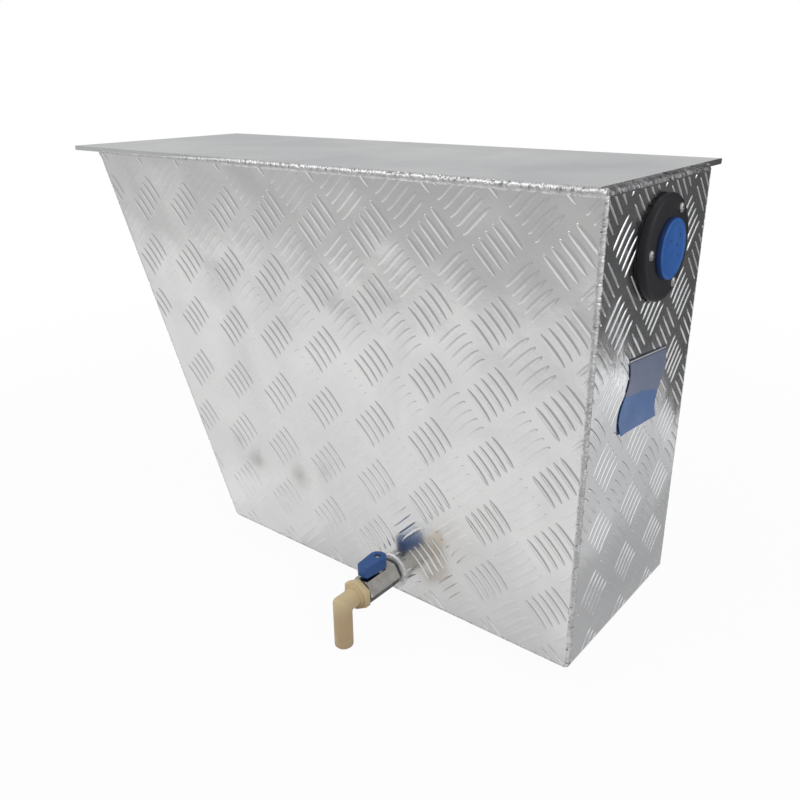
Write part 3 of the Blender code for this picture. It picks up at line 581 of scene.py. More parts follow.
# painted shade: the valve body turns dark at its back end, by the socket
paintedBodyBackShade = {"from": socketFace - 0.0024, "to": socketFace - 0.0012, "colour": (0.14, 0.14, 0.15)}
blackNylon = moulded("blackNylon", (0.010, 0.010, 0.013), (0.016, 0.016, 0.019), 0.48, 0.05,
                     plain={"Specular IOR Level": 0.34})
blackRubber = moulded("blackRubber", (0.018, 0.018, 0.018), (0.028, 0.028, 0.028), 0.75, 0.08)
bluePlastic = moulded("bluePlastic", (0.006, 0.098, 0.390), (0.012, 0.114, 0.420), 0.38, 0.03,
                      {"X": paintedCapShade})
leverPlastic = moulded("leverPlastic", (0.014, 0.078, 0.270), (0.020, 0.090, 0.295), 0.42, 0.03)
beigeNylon = moulded("beigeNylon", (0.49, 0.355, 0.195), (0.55, 0.405, 0.235), 0.42, 0.05, {"Z": paintedSpoutLight},
                     {"Subsurface Weight": 0.20, "Subsurface Scale": 0.004})
sealPlastic = moulded("whiteSealPlastic", (0.85, 0.85, 0.82), (0.80, 0.80, 0.77), 0.42, 0.03)
nickelPlate = plated("nickelPlate", (0.62, 0.60, 0.57), (0.50, 0.48, 0.45), 0.18,
                     {"Z": paintedBodyUnderShade, "Y": paintedBodyBackShade}, {"Specular Tint": (0.45, 0.45, 0.45, 1)})
bareBrass = plated("bareBrass", (0.76, 0.58, 0.29), (0.60, 0.44, 0.22), 0.26)
screwSteel = plated("stainlessSteel", (0.46, 0.46, 0.45), (0.34, 0.34, 0.34), 0.36)

label = {
    "width": 0.074,
    "height": 0.064,
    "swing": 0.0060,  # sideways wave of the two curved sides
    "tilt": 5.0,  # front end raised, degrees
    "middle": (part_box("blank_label")[0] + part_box("blank_label")[1]) / 2,
    "upper": (0.165, 0.196, 0.300),
    "lower": (0.064, 0.152, 0.372),
    "split": 0.0340,  # below the top edge
    "splitSlope": 0.115,  # drop of the split towards the back
    "splitWave": 0.003,
    "blend": 0.0020,
    "lines": [(0.0, 0.0009, (0.012, 0.012, 0.02)), (0.0009, 0.0021, (0.55, 0.55, 0.60)),
              (0.0021, 0.0030, (0.03, 0.03, 0.06))],
    "roughness": 0.32,
    "cornerReach": 0.014,  # how far the curl of the lower front corner reaches
    "cornerLift": 0.0012,
    "curl": 1.4,
    "lift": 0.0010,  # front of the film from the wall
    "film": 0.0005,
    "rows": 24,
    "columns": 20,
}
labelLean = math.radians(label["tilt"])
labelAcross = Vector((0, math.cos(labelLean), -math.sin(labelLean)))
labelUp = Vector((0, math.sin(labelLean), math.cos(labelLean)))


def filmMaterial(values):
    # two blues that meet in a soft line below the middle, with a fine double line along the top
    made, tree, coords, clouds, specks = startMaterial(
        "labelFilm", values["roughness"], 0.0, cloudScale=30.0, speckScale=1500.0)
    away = vectorMath(tree, "SUBTRACT", coords, values["middle"], "Vector")
    side, rise = (vectorMath(tree, "DOT_PRODUCT", away, way) for way in (labelAcross, labelUp))
    down = minus(tree, values["height"] / 2, rise)
    level = minus(tree, plus(tree, down, times(tree, clouds, values["splitWave"])),
                  times(tree, side, values["splitSlope"]))
    lower = mapRange(tree, level, (values["split"], values["split"] + values["blend"]))
    tone = mixColour(tree, lower, values["upper"], values["lower"])
    for start, end, colour in values["lines"]:
        band = times(tree, addMath(tree, "GREATER_THAN", down, start), addMath(tree, "LESS_THAN", down, end))
        tone = mixColour(tree, band, tone, colour)
    sheen = spread(tree, clouds, *(values["roughness"] * share for share in filmSheen))
    return finishMaterial(made, tone, sheen, [(clouds, 0.25), (specks, 0.01)])


slotFinish = {
    "plain_aluminium": plainMetal, "tread_aluminium": treadMetal, "weld_metal": weldMetal,
    "black_nylon": blackNylon, "black_rubber": blackRubber, "stainless_steel": screwSteel,
    "blue_plastic": bluePlastic, "label_film": filmMaterial(label), "nickel_plate": nickelPlate,
    "white_seal_plastic": sealPlastic, "bare_brass": bareBrass, "beige_nylon": beigeNylon,
}
nodeSlot = {row["node"]: row["material_slot"] for row in frame["record"]["subparts"]}
nodeFinish = {"wrap_shell": wrapMetal, "outlet_socket": socketMetal, "valve_lever": leverPlastic}
for nodeName, node in nodes.items():
    node.data.materials.clear()
    node.data.materials.append(nodeFinish.get(nodeName, slotFinish[nodeSlot[nodeName]]))
print("finishes ready")


# Geometry Nodes helpers

def newTree(name, inputs):
    return newGroup(name, "GeometryNodeTree", inputs, {"Geometry": "Geometry"})


def addInstances(tree, points, piece, **more):
    return firstOf(tree, "GeometryNodeInstanceOnPoints", {"Points": points, "Instance": piece, **more})


def moveBy(tree, geometry, place):
    return firstOf(tree, "GeometryNodeTransform", {"Geometry": geometry, "Translation": place})


def randomOf(tree, low, high, seed):
    made = addNode(tree, "FunctionNodeRandomValue", {2: low, 3: high, "Seed": seed}, data_type="FLOAT")
    return made.outputs[1]


def endTree(tree, geometry, finish, sink):
    real = firstOf(tree, "GeometryNodeRealizeInstances", {"Geometry": geometry})
    dressed = firstOf(tree, "GeometryNodeSetMaterial", {"Geometry": real, "Material": finish})
    tree.links.new(dressed, sink[0])
    return tree


def runTree(tree, name, values):
    # sets the inputs by identifier, evaluates once and keeps a plain mesh
    host = linkObject(name + "Host", bpy.data.meshes.new(name))
    builder = host.modifiers.new("build", "NODES")
    builder.node_group = tree
    for item in tree.interface.items_tree:
        if item.item_type == "SOCKET" and item.in_out == "INPUT" and item.name in values:
            builder[item.identifier] = values[item.name]
    mesh = bakedMesh(host)
    discard(host)
    mesh.name = name
    return mesh


# Tread bars: five slim bars to a group, groups crossing at right angles

treadBar = {
    "length": 0.0335,
    "panelWidth": 0.0046,  # bars of the front and back panels
    "wrapWidth": 0.0033,  # bars of the folded sheet
    "panelCross": 0.50,  # height of the crossing bars, as a share of the others
    "wrapCross": 1.0,
    "fadeFrom": 0.3,  # shares of the face's length between which crossing bars gain height
    "fadeTo": 0.75,
    "height": 0.00072,
    "sunk": 0.0006,  # foot below the sheet's face
    "bow": 0.0006,  # sideways arch
    "taper": 3.0,  # how late the bar narrows towards its ends
    "fullness": 0.6,
    "blunt": 8.0,  # how late its top falls there
    "stations": 13,
    "crown": 5,  # points over the top of the section
    "crest": 1.7,  # 1 gives a sharp ridge, 2 a round one
    "bars": 5,
    "barGap": 0.0086,
    "sizes": (0.96, 1.04),  # smallest and largest group
    "underLabel": 0.0001,  # height left under the film
}


def barTemplate(values, width):
    work = bmesh.new()
    rings = []
    lastStation = values["stations"] - 1
    for i in range(values["stations"]):
        along = -math.cos(math.pi * i / lastStation)
        full = max(0.0, 1 - abs(along) ** values["taper"]) ** values["fullness"]
        top = values["height"] * max(0.0, 1 - abs(along) ** values["blunt"])
        side = values["bow"] * (1 - along * along)
        x = along * values["length"] / 2
        if i in (0, lastStation):
            rings.append([work.verts.new((x, side, -values["sunk"] / 2))])
            continue
        ring = []
        for k in range(values["crown"]):
            across = 1 - 2 * k / (values["crown"] - 1)
            lift = (1 - abs(across) ** values["crest"]) * top
            ring.append(work.verts.new((x, side + across * width / 2 * full, lift)))
        ring.append(work.verts.new((x, side, -values["sunk"])))
        rings.append(ring)
    for first, last in zip(rings, rings[1:]):
        for k in range(max(len(first), len(last))):
            corners = (first[k % len(first)], first[(k + 1) % len(first)],
                       last[(k + 1) % len(last)], last[k % len(last)])
            work.faces.new([v for n, v in enumerate(corners) if v not in corners[:n]])
    return linkObject("treadBar", endWork(work, bpy.data.meshes.new("treadBar")))


def buildTreadTree(values):
    tree, given, sink = newTree("treadGroups", {
        "Bar": "Object", "Finish": "Material", "Start": "Vector",
        **{key: "Int" for key in ("Columns", "Rows", "Bars", "Seed")},
        **{key: "Float" for key in ("Pitch Across", "Pitch Up", "Bar Gap", "Cross Height", "Cross Fade")}})

    def span(count, gap):
        return times(tree, minus(tree, given[count], 1.0), given[gap])

    bar = addNode(tree, "GeometryNodeObjectInfo", {"Object": given["Bar"], "As Instance": True})
    row = firstOf(tree, "GeometryNodeMeshLine", {
        "Count": given["Bars"], "Offset": combine(tree, Y=given["Bar Gap"]),
        "Start Location": combine(tree, Y=times(tree, span("Bars", "Bar Gap"), -0.5))})
    five = addInstances(tree, row, bar.outputs["Geometry"])
    wide, tall = span("Columns", "Pitch Across"), span("Rows", "Pitch Up")
    spot = separate(tree, firstOf(tree, "GeometryNodeInputPosition"))
    cross = mapRange(tree, spot["X"],
                     (times(tree, wide, values["fadeFrom"]), times(tree, wide, values["fadeTo"])),
                     (times(tree, given["Cross Height"], given["Cross Fade"]), given["Cross Height"]))
    joined = addNode(tree, "GeometryNodeJoinGeometry")
    for turn, share, rise in ((-45, 0.0, 1.0), (45, 0.5, cross)):
        grid = firstOf(tree, "GeometryNodeMeshGrid", {
            "Size X": wide, "Size Y": tall, "Vertices X": given["Columns"], "Vertices Y": given["Rows"]})
        across, up = (plus(tree, times(tree, reach, 0.5), times(tree, given[pitch], share))
                      for reach, pitch in ((wide, "Pitch Across"), (tall, "Pitch Up")))
        size = randomOf(tree, *values["sizes"], given["Seed"])
        laid = addInstances(tree, moveBy(tree, grid, combine(tree, X=across, Y=up)), five,
                            Rotation=(0, 0, math.radians(turn)), Scale=combine(tree, X=size, Y=size, Z=rise))
        tree.links.new(laid, joined.inputs[0])
    return endTree(tree, moveBy(tree, joined.outputs[0], given["Start"]), given["Finish"], sink)


def trimTo(mesh, outline):
    # cuts everything outside a convex outline, listed anticlockwise, and closes the cut ends
    work = startWork(mesh)
    for here, there in zip(outline, outline[1:] + outline[:1]):
        along = Vector((there[0] - here[0], there[1] - here[1], 0)).normalized()
        geometry = work.verts[:] + work.edges[:] + work.faces[:]
        bmesh.ops.bisect_plane(work, geom=geometry, dist=1e-7, plane_co=(*here, 0),
                               plane_no=(along.y, -along.x, 0), clear_outer=True)
        bmesh.ops.holes_fill(work, edges=[edge for edge in work.edges if edge.is_boundary], sides=0)
    endWork(work, mesh)


def clearRound(mesh, centre, radius):
    # takes the bars out where a round fitting sits
    work = bmesh.new()
    bmesh.ops.create_cone(work, cap_ends=True, segments=70, radius1=radius, radius2=radius, depth=0.01,
                          matrix=Matrix.Translation((*centre, 0)))
    made = cutWith(mesh, endWork(work, bpy.data.meshes.new("roundFitting")))
    work = startWork(made)
    cutEnds = [face for face in work.faces if len(face.verts) > 4]
    bmesh.ops.triangulate(work, faces=cutEnds, ngon_method="BEAUTY")
    return endWork(work, made)


def facing(origin, across, up):
    across, up = Vector(across), Vector(up)
    turn = Matrix((across, up, across.cross(up))).transposed().to_4x4()
    return Matrix.Translation(origin) @ turn


def rectangle(left, low, right, high):
    return [(left, low), (right, low), (right, high), (left, high)]


slopeRun = Vector((leftX - (rightX - tank["baseLength"]), 0, tankHeight))
slopeUp = slopeRun.normalized()
leftAtBase = -tank["baseLength"]
treadTrim = {
    "weldGap": 0.0008,  # clear of the corner welds
    "topGap": 0.001,  # below the walls' top edge
    "slopeGap": 0.008,
    "slopeFoot": 0.9,  # gap at the slope's foot and head, as shares of the others
    "slopeHead": 1.25,
    "socketRadius": 0.0165,
    "flangeCover": 0.001,  # how far the flange's edge reaches over the bars
}
corner = tank["sheet"] + treadTrim["weldGap"]
barTop = tankHeight - treadTrim["topGap"]
slopeTop = slopeRun.length - treadTrim["slopeGap"]
panelOutline = [(leftAtBase + corner * treadTrim["slopeFoot"], corner), (-corner, corner), (-corner, barTop),
                (-topLength + corner * treadTrim["slopeHead"], barTop)]
wallOutline = (corner, tank["fold"], tankDepth - corner)
panelPitch, wrapPitch = (0.0637, 0.0600), (0.0615, 0.0600)
treadFaces = {
    "front_tread_bars": {
        "sheet": "panel",
        "place": facing((rightX, frontY, baseZ), (1, 0, 0), (0, 0, 1)),
        "outline": panelOutline, "start": (-0.7230, -0.0665), "pitch": panelPitch, "grid": (13, 9),
        "crossFade": 0.25, "seed": 3},
    "back_tread_bars": {
        "sheet": "panel",
        "place": facing((rightX, backY, baseZ), (-1, 0, 0), (0, 0, 1)),
        "outline": [(-x, y) for x, y in reversed(panelOutline)],
        "start": (-0.080, -0.045), "pitch": panelPitch, "grid": (13, 9), "seed": 5},
    "right_tread_bars": {
        "sheet": "wrap",
        "place": facing((rightX, frontY, baseZ), (0, 1, 0), (0, 0, 1)),
        "outline": rectangle(*wallOutline, barTop),
        "start": (-0.0530, -0.0920), "pitch": wrapPitch, "grid": (6, 10), "seed": 7},
    "left_tread_bars": {
        "sheet": "wrap",
        "place": facing((rightX + leftAtBase, backY, baseZ), (0, -1, 0), slopeUp),
        "outline": rectangle(*wallOutline, slopeTop),
        "start": (-0.0530, -0.0920), "pitch": wrapPitch, "grid": (6, 11), "seed": 9},
    "base_tread_bars": {
        "sheet": "wrap",
        "place": facing((rightX, backY, baseZ), (1, 0, 0), (0, -1, 0)),
        "outline": rectangle(leftAtBase + tank["fold"], corner, -tank["fold"], tankDepth - corner),
        "start": (-0.530, -0.060), "pitch": panelPitch, "grid": (11, 6), "seed": 11},
}
# round fittings, as (centre on the face, radius); the bars end under their edges
roundFittings = {
    "front_tread_bars": ((tapCentre.x - rightX, tapCentre.z - baseZ), treadTrim["socketRadius"]),
    "right_tread_bars": ((fillerCentre.y - frontY, fillerCentre.z - baseZ),
                         flangeRadius - treadTrim["flangeCover"]),
}


def labelSwing(rise):
    # sideways shift of the label's sides at this height above its middle
    return -label["swing"] * math.sin(math.tau * (rise / label["height"] + 0.5))


def underLabel(spot):
    middle = label["middle"]
    offset = Vector((0, spot.x - middle.y + frontY, spot.y - middle.z + baseZ))
    across, rise = offset.dot(labelAcross), offset.dot(labelUp)
    return abs(rise) < label["height"] / 2 and abs(across - labelSwing(rise)) < label["width"] / 2


def buildTread(values):
    bars = {sheet: barTemplate(values, values[sheet + "Width"]) for sheet in ("panel", "wrap")}
    sheets = {"panel": treadMetal, "wrap": wrapMetal}
    tree = buildTreadTree(values)
    for name, face in treadFaces.items():
        sheet = face["sheet"]
        mesh = runTree(tree, name, {
            "Bar": bars[sheet], "Finish": sheets[sheet], "Columns": face["grid"][0], "Rows": face["grid"][1],
            "Pitch Across": face["pitch"][0], "Pitch Up": face["pitch"][1], "Bars": values["bars"],
            "Bar Gap": values["barGap"], "Cross Height": values[sheet + "Cross"],
            "Cross Fade": face.get("crossFade", 1.0), "Start": (*face["start"], 0.0), "Seed": face["seed"]})
        if name == "right_tread_bars":
            for vertex in mesh.vertices:
                if underLabel(vertex.co):
                    vertex.co.z = min(vertex.co.z, values["underLabel"])
        trimTo(mesh, face["outline"])
        if name in roundFittings:
            mesh = clearRound(mesh, *roundFittings[name])
        mesh.transform(face["place"])
        finishPiece(name, mesh, "tank", smoothAngle=50)
        print(name, len(mesh.polygons), "faces")
    discard(*bars.values())


buildTread(treadBar)

# Weld beads: a lumpy, rippled section run along each seam

weldBead = {
    "step": 0.0006,
    "sides": 12,
    "ripplePitch": 0.0024,
    "rippleHeight": 0.00030,
    "wander": 5.0,  # how far the ripples drift out of step
    "wanderScale": 150.0,
    "lumps": 0.0012,
    "lumpScale": 380.0,
    "pitScale": 360.0,
    "pitEdge": 0.08,
    "pitSeed": 20.0,
    "thinShare": 0.4,  # part of a smooth start that stays thin
    "leastSpan": 0.0001,
    "smoothEdge": 0.0006,  # height over which the smooth side turns rough
    "smoothRise": 0.0008,
    "sootAndPitShadeGain": 1000.0,
    "lidLift": 0.0002,  # beads along the plate's edges sit over the walls
    "endInset": 0.003,  # ends of the plate's beads, from the tank's ends
    "frontInset": 0.0002,
    "frontEnd": 0.0012,
    "rightStart": 0.0042,
    "rightEnd": 0.0004,
    "ringRadius": 0.0163,  # bead round the tap's socket
    "ringSunk": 0.0003,
    "ringSteps": 48,
}


def roundCorner(before, corner, after, radius, steps=6):
    # points round a fillet between two straight runs in one plane
    first, last = (before - corner).normalized(), (after - corner).normalized()
    half = first.angle(last) / 2
    middle = corner + (first + last).normalized() * radius / math.sin(half)
    start, end = ((corner + way * radius / math.tan(half) - middle).normalized() for way in (first, last))
    return [middle + start.slerp(end, i / steps) * radius for i in range(steps + 1)]


def pathObject(name, points, closed):
    curve = bpy.data.curves.new(name, "CURVE")
    curve.dimensions = "3D"
    spline = curve.splines.new("POLY")
    spline.points.add(len(points) - 1)
    for point, spot in zip(spline.points, points):
        point.co = (*spot, 1)
    spline.use_cyclic_u = closed
    return linkObject(name, curve)


def seamRun(depth):
    # along the notch's inner corner: down the slope, along the base, up the right edge
    inset = tank["sheet"]
    lean = math.atan2(-slopeRun.x, slopeRun.z)
    across, rise = inset / math.cos(lean), inset * math.tan(lean)
    base = baseZ + inset
    leftTop = Vector((leftX + across, depth, topZ))
    leftBase = Vector((rightX - tank["baseLength"] + across - rise, depth, base))
    rightBase = Vector((rightX - inset, depth, base))
    rightTop = Vector((rightX - inset, depth, topZ))
    return [leftTop, *roundCorner(leftTop, leftBase, rightBase, inset),
            *roundCorner(leftBase, rightBase, rightTop, inset), rightTop]


def buildBeadTree(values):
    tree, given, sink = newTree("weldRun", {
        "Path": "Object", "Finish": "Material", "Sides": "Int", **{key: "Float" for key in (
            "Across", "Tall", "Step", "Ripple Pitch", "Ripple Height", "Lumps", "Pit Depth", "Pit Level",
            "Smooth Start", "Smooth Below", "Start Size", "Seed")}})

    def noise(scale, detail, seed):
        return addNode(tree, "ShaderNodeTexNoise", {"Scale": scale, "Detail": detail, "W": seed},
                       noise_dimensions="4D").outputs["Fac"]

    path = addNode(tree, "GeometryNodeObjectInfo", {"Object": given["Path"]})
    fine = firstOf(tree, "GeometryNodeResampleCurve", {
        "Curve": path.outputs["Geometry"], "Length": given["Step"]}, mode="LENGTH")
    level = firstOf(tree, "GeometryNodeSetCurveNormal", {"Curve": fine}, mode="Z_UP")
    keep = addNode(tree, "GeometryNodeCaptureAttribute")
    keep.capture_items.new("FLOAT", "Distance")
    tree.links.new(level, keep.inputs[0])
    tree.links.new(addNode(tree, "GeometryNodeSplineParameter").outputs["Length"], keep.inputs[1])
    distance = keep.outputs[1]
    # the run starts thin and smooth where asked, and keeps its lower side smooth
    thinEnd = minus(tree, times(tree, given["Smooth Start"], values["thinShare"]), values["leastSpan"])
    begun = mapRange(tree, distance, (thinEnd, given["Smooth Start"]))
    girth = mapRange(tree, begun, (0.0, 1.0), (given["Start Size"], 1.0))
    ring = firstOf(tree, "GeometryNodeCurvePrimitiveCircle", {"Resolution": given["Sides"], "Radius": 1.0})
    section = firstOf(tree, "GeometryNodeTransform", {
        "Geometry": ring, "Scale": combine(tree, X=given["Across"], Y=given["Tall"], Z=1.0)})
    swept = firstOf(tree, "GeometryNodeCurveToMesh", {
        "Curve": keep.outputs[0], "Profile Curve": section, "Scale": girth, "Fill Caps": True})
    spot = separate(tree, firstOf(tree, "GeometryNodeInputPosition"))
    above = mapRange(tree, spot["Z"], (given["Smooth Below"],
                                       plus(tree, given["Smooth Below"], values["smoothEdge"])))
    begun = times(tree, begun, above)
    turn = addMath(tree, "DIVIDE", times(tree, distance, math.pi), given["Ripple Pitch"])
    phase = plus(tree, turn, times(tree, noise(values["wanderScale"], 2.0, given["Seed"]), values["wander"]))
    ripple = times(tree, addMath(tree, "ABSOLUTE", addMath(tree, "SINE", phase)), given["Ripple Height"])
    lump = times(tree, minus(tree, noise(values["lumpScale"], 3.0, given["Seed"]), 0.5), given["Lumps"])
    pit = mapRange(tree, noise(values["pitScale"], 1.0, plus(tree, given["Seed"], values["pitSeed"])),
                   (given["Pit Level"], plus(tree, given["Pit Level"], values["pitEdge"])))
    pit = times(tree, pit, begun)
    rough = times(tree, plus(tree, ripple, lump), begun)
    height = minus(tree, rough, times(tree, pit, given["Pit Depth"]))
    push = firstOf(tree, "ShaderNodeVectorMath", {
        0: firstOf(tree, "GeometryNodeInputNormal"), "Scale": height}, operation="SCALE")
    raised = firstOf(tree, "GeometryNodeSetPosition", {"Geometry": swept, "Offset": push})
    # darker colour in the pits: weld soot together with painted shade
    deep = times(tree, given["Pit Depth"], values["sootAndPitShadeGain"])
    soot = times(tree, pit, addMath(tree, "MINIMUM", 1.0, deep))
    marked = firstOf(tree, "GeometryNodeStoreNamedAttribute", {
        "Geometry": raised, "Name": "soot", "Value": soot}, domain="POINT")
    return endTree(tree, marked, given["Finish"], sink)


frontEdge, backEdge = frontY + tank["sheet"], backY - tank["sheet"]
lidLevel = topZ + weldBead["lidLift"]
frontBead = (frontEdge - weldBead["frontInset"], lidLevel + weldBead["frontInset"])
beadLeft, beadRight = leftX + weldBead["endInset"], rightX - weldBead["endInset"]
socketRing = []
for i in range(weldBead["ringSteps"]):
    angle = math.tau * i / weldBead["ringSteps"]
    away = Vector((math.cos(angle), 0, math.sin(angle))) * weldBead["ringRadius"]
    socketRing.append(tapCentre + away - Vector((0, weldBead["ringSunk"], 0)))
# "share" scales ripples and lumps; the capital names are the tree's inputs
plainRun = {
    "closed": False, "share": 1.0, "Across": 0.0040, "Tall": 0.0042, "Pit Depth": 0.0, "Pit Level": 0.6,
    "Smooth Start": 0.0, "Smooth Below": -1.0, "Start Size": 1.0, "Finish": weldMetal}
seamBead = {"share": 0.8, "Across": 0.0030, "Tall": 0.0030, "Pit Depth": 0.0012}
weldRuns = {
    "front_seam_weld": {**seamBead, "path": seamRun(frontEdge), "Seed": 1.0},
    "back_seam_weld": {**seamBead, "path": seamRun(backEdge), "Seed": 2.0},
    "lid_front_weld": {
        "path": [(beadLeft, *frontBead), (rightX - weldBead["frontEnd"], *frontBead)],
        "Across": 0.0032, "Tall": 0.0044, "Pit Depth": 0.0009, "Pit Level": 0.56, "Smooth Start": 0.22,
        "Smooth Below": lidLevel + weldBead["smoothRise"], "Start Size": 0.25, "Seed": 3.0},
    "lid_right_weld": {
        "path": [(plateRight, frontY + weldBead["rightStart"], lidLevel),
                 (plateRight, backY - weldBead["rightEnd"], lidLevel)],
        "share": 2.0, "Across": 0.0068, "Tall": 0.0044, "Pit Depth": 0.0012, "Pit Level": 0.58, "Seed": 4.0,
        "Finish": lidWeldMetal},
    "lid_left_weld": {
        "path": [(leftX, frontEdge, topZ), (leftX, backEdge, topZ)], "Seed": 5.0},
    "lid_back_weld": {
        "path": [(beadLeft, backY, topZ), (beadRight, backY, topZ)], "Seed": 6.0},
    "socket_weld": {
        "path": socketRing, "closed": True, "share": 0.9, "Across": 0.0022, "Tall": 0.0022,
        "Pit Depth": 0.0004, "Seed": 7.0, "Finish": socketWeldMetal},
}


def buildWelds(values):
    tree = buildBeadTree(values)
    for name, changes in weldRuns.items():
        run = {**plainRun, **changes}
        path = pathObject(name + "Path", run["path"], run["closed"])
        mesh = runTree(tree, name, {
            **run, "Path": path, "Sides": values["sides"], "Step": values["step"],
            "Ripple Pitch": values["ripplePitch"], "Ripple Height": values["rippleHeight"] * run["share"],
            "Lumps": values["lumps"] * run["share"]})
        discard(path)
        closeUp(mesh)
        finishPiece(name.replace("_weld", "_bead"), mesh, "tank", [name], smoothAngle=60)
        print(name, len(mesh.polygons), "faces")


buildWelds(weldBead)

# Turned pieces of the filler

outOfRight = Matrix.Translation(fillerCentre) @ Matrix.Rotation(math.pi / 2, 4, "Y")


def arcPoints(centre, radius, start, end, steps):
    points = []
    for i in range(steps + 1):
        angle = math.radians(start + (end - start) * i / steps)
        points.append((centre[0] + radius * math.cos(angle), centre[1] + radius * math.sin(angle)))
    return points


def turnedMesh(name, profile, segments, finish, ring=False):
    # profile of (radius, height); its two ends lie on the axis unless it closes as a ring
    work = bmesh.new()
    loops = []
    for radius, height in profile:
        if radius < 1e-6:
            loops.append([work.verts.new((0, 0, height))] * segments)
            continue
        loops.append([work.verts.new((radius * math.cos(math.tau * i / segments),
                                      radius * math.sin(math.tau * i / segments), height))
                      for i in range(segments)])
    for first, last in zip(loops, loops[1:] + loops[:1] if ring else loops[1:]):
        for i in range(segments):
            j = (i + 1) % segments
            corners = list(dict.fromkeys((first[i], first[j], last[j], last[i])))
            if len(corners) > 2:
                work.faces.new(corners)
    mesh = endWork(work, bpy.data.meshes.new(name))
    mesh.materials.append(finish)
    return mesh


filler = {
    "bore": 0.0178,
    "neck": 0.0210,
    "collar": 0.0222,
    "faceRadius": flangeRadius - 0.0043,
    "rimRadius": flangeRadius,
    "foot": 0.0021,  # heights from the wall's outer face
    "rim": 0.0051,
    "face": 0.0081,
    "mouth": flangeHigh.x - rightX,
    "neckEnd": flangeLow.x - rightX,
    "edge": 0.0006,
    "fillet": 0.0008,
    "segments": 96,
}


def buildFlange(values):
    bore, neck, collar, wide, narrow, foot, rim, face, mouth, end, edge, fillet = pick(
        values, "bore neck collar rimRadius faceRadius foot rim face mouth neckEnd edge fillet")
    shoulder = [(narrow + (wide - narrow) * x, rim + (face - rim) * y)
                for x, y in arcPoints((0, 0), 1, 90, 0, 10)]
    profile = [
        (bore, mouth - edge), (bore + edge, mouth), *arcPoints((collar - edge, mouth - edge), edge, 90, 0, 4),
        *arcPoints((collar + fillet, face + fillet), fillet, 180, 270, 4), (narrow - fillet, face), *shoulder,
        (wide, foot + edge), (wide - edge, foot), (neck, foot), (neck, end + edge), (neck - edge, end),
        (bore, end)]
    mesh = turnedMesh("flange", profile, values["segments"], blackNylon, ring=True)
    mesh.transform(outOfRight)
    finishPiece("flange", mesh, "tank", ["filler_flange"], smoothAngle=40)


cap = {
    "radius": (capHigh.y - capLow.y) / 2,
    "groove": 0.0226,
    "plug": 0.0174,
    "plugWall": 0.0022,
    "plugEdge": 0.0008,
    "top": capHigh.x - rightX,
    "roof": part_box("cap_seal")[1].x - rightX + 0.0003,
    "skirtFoot": 0.0084,
    "plugFoot": capLow.x - rightX,
    "edge": 0.0014,
    "dish": 0.0005,  # hollow of the top inside its rim
    "rimWidth": 0.0026,
    "dishCorner": [(0.002, 1.0), (0.0007, 0.8), (0.0, 0.0)],  # in from the rim, share of the dish
    "segments": 96,
    "dimples": [(0.0100, 0.0095), (-0.0067, 0.0068), (0.0067, 0.0019), (0.0090, -0.0060)],
    "dimpleRadius": 0.0018,
    "dimpleLift": 0.35,  # centre over the face, as a share of the radius
}


def cutDimples(mesh, values):
    # small round hollows moulded in the cap's face
    work = bmesh.new()
    radius = values["dimpleRadius"]
    level = values["top"] - values["dish"] + radius * values["dimpleLift"]
    for across, rise in values["dimples"]:
        bmesh.ops.create_uvsphere(work, u_segments=16, v_segments=10, radius=radius,
                                  matrix=Matrix.Translation((-rise, across, level)))
    return cutWith(mesh, endWork(work, bpy.data.meshes.new("dimples")))


def buildCap(values):
    radius, groove, plug, top, roof, skirt, foot, edge, dish, bevel = pick(
        values, "radius groove plug top roof skirtFoot plugFoot edge dish plugEdge")
    rim, hollow = radius - edge - values["rimWidth"], plug - values["plugWall"]
    profile = [
        (0, top - dish), *((rim - inward, top - dish * share) for inward, share in values["dishCorner"]),
        *arcPoints((radius - edge, top - edge), edge, 90, 0, 6), (radius, skirt), (groove, skirt),
        (groove, roof), (plug, roof), (plug, foot + bevel), (plug - bevel, foot), (hollow, foot),
        (hollow, roof), (0, roof)]
    mesh = cutDimples(turnedMesh("cap", profile, values["segments"], bluePlastic), values)
    mesh.transform(outOfRight)
    finishPiece("cap", mesh, "cap", ["filler_cap"], smoothAngle=40)


stemLow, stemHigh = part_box("lever_screw")
screws = {
    "flange": {"head": 0.0042, "dome": 0.0022, "shaft": 0.0020, "foot": filler["face"] + 0.0002,
               "end": -0.0080},
    "lever": {"head": 0.0029, "dome": 0.0015, "shaft": 0.0015, "foot": stemHigh.z - 0.0015, "end": stemLow.z},
    "recess": 0.0012 / 0.0042,  # depth, width and length of the cross, as shares of the head's radius
    "recessWidth": 0.0013 / 0.0042,
    "recessLength": 0.0046 / 0.0042,
    "circle": 0.0340,
    "count": 3,
    "sides": 20,
    "seed": 4,
}


def crossPrism(reach, half, low, high):
    # a plus-shaped punch, standing upright
    quarter = [(reach, -half), (reach, half), (half, half)]
    outline = []
    for turn in range(4):
        spin = Matrix.Rotation(turn * math.pi / 2, 2)
        outline += [spin @ Vector(spot) for spot in quarter]
    count = len(outline)
    mesh = bpy.data.meshes.new("crossPunch")
    mesh.from_pydata([(*spot, height) for height in (low, high) for spot in outline], [],
                     [tuple(range(count))[::-1], tuple(range(count, 2 * count))]
                     + [(i, (i + 1) % count, (i + 1) % count + count, i + count) for i in range(count)])
    return mesh


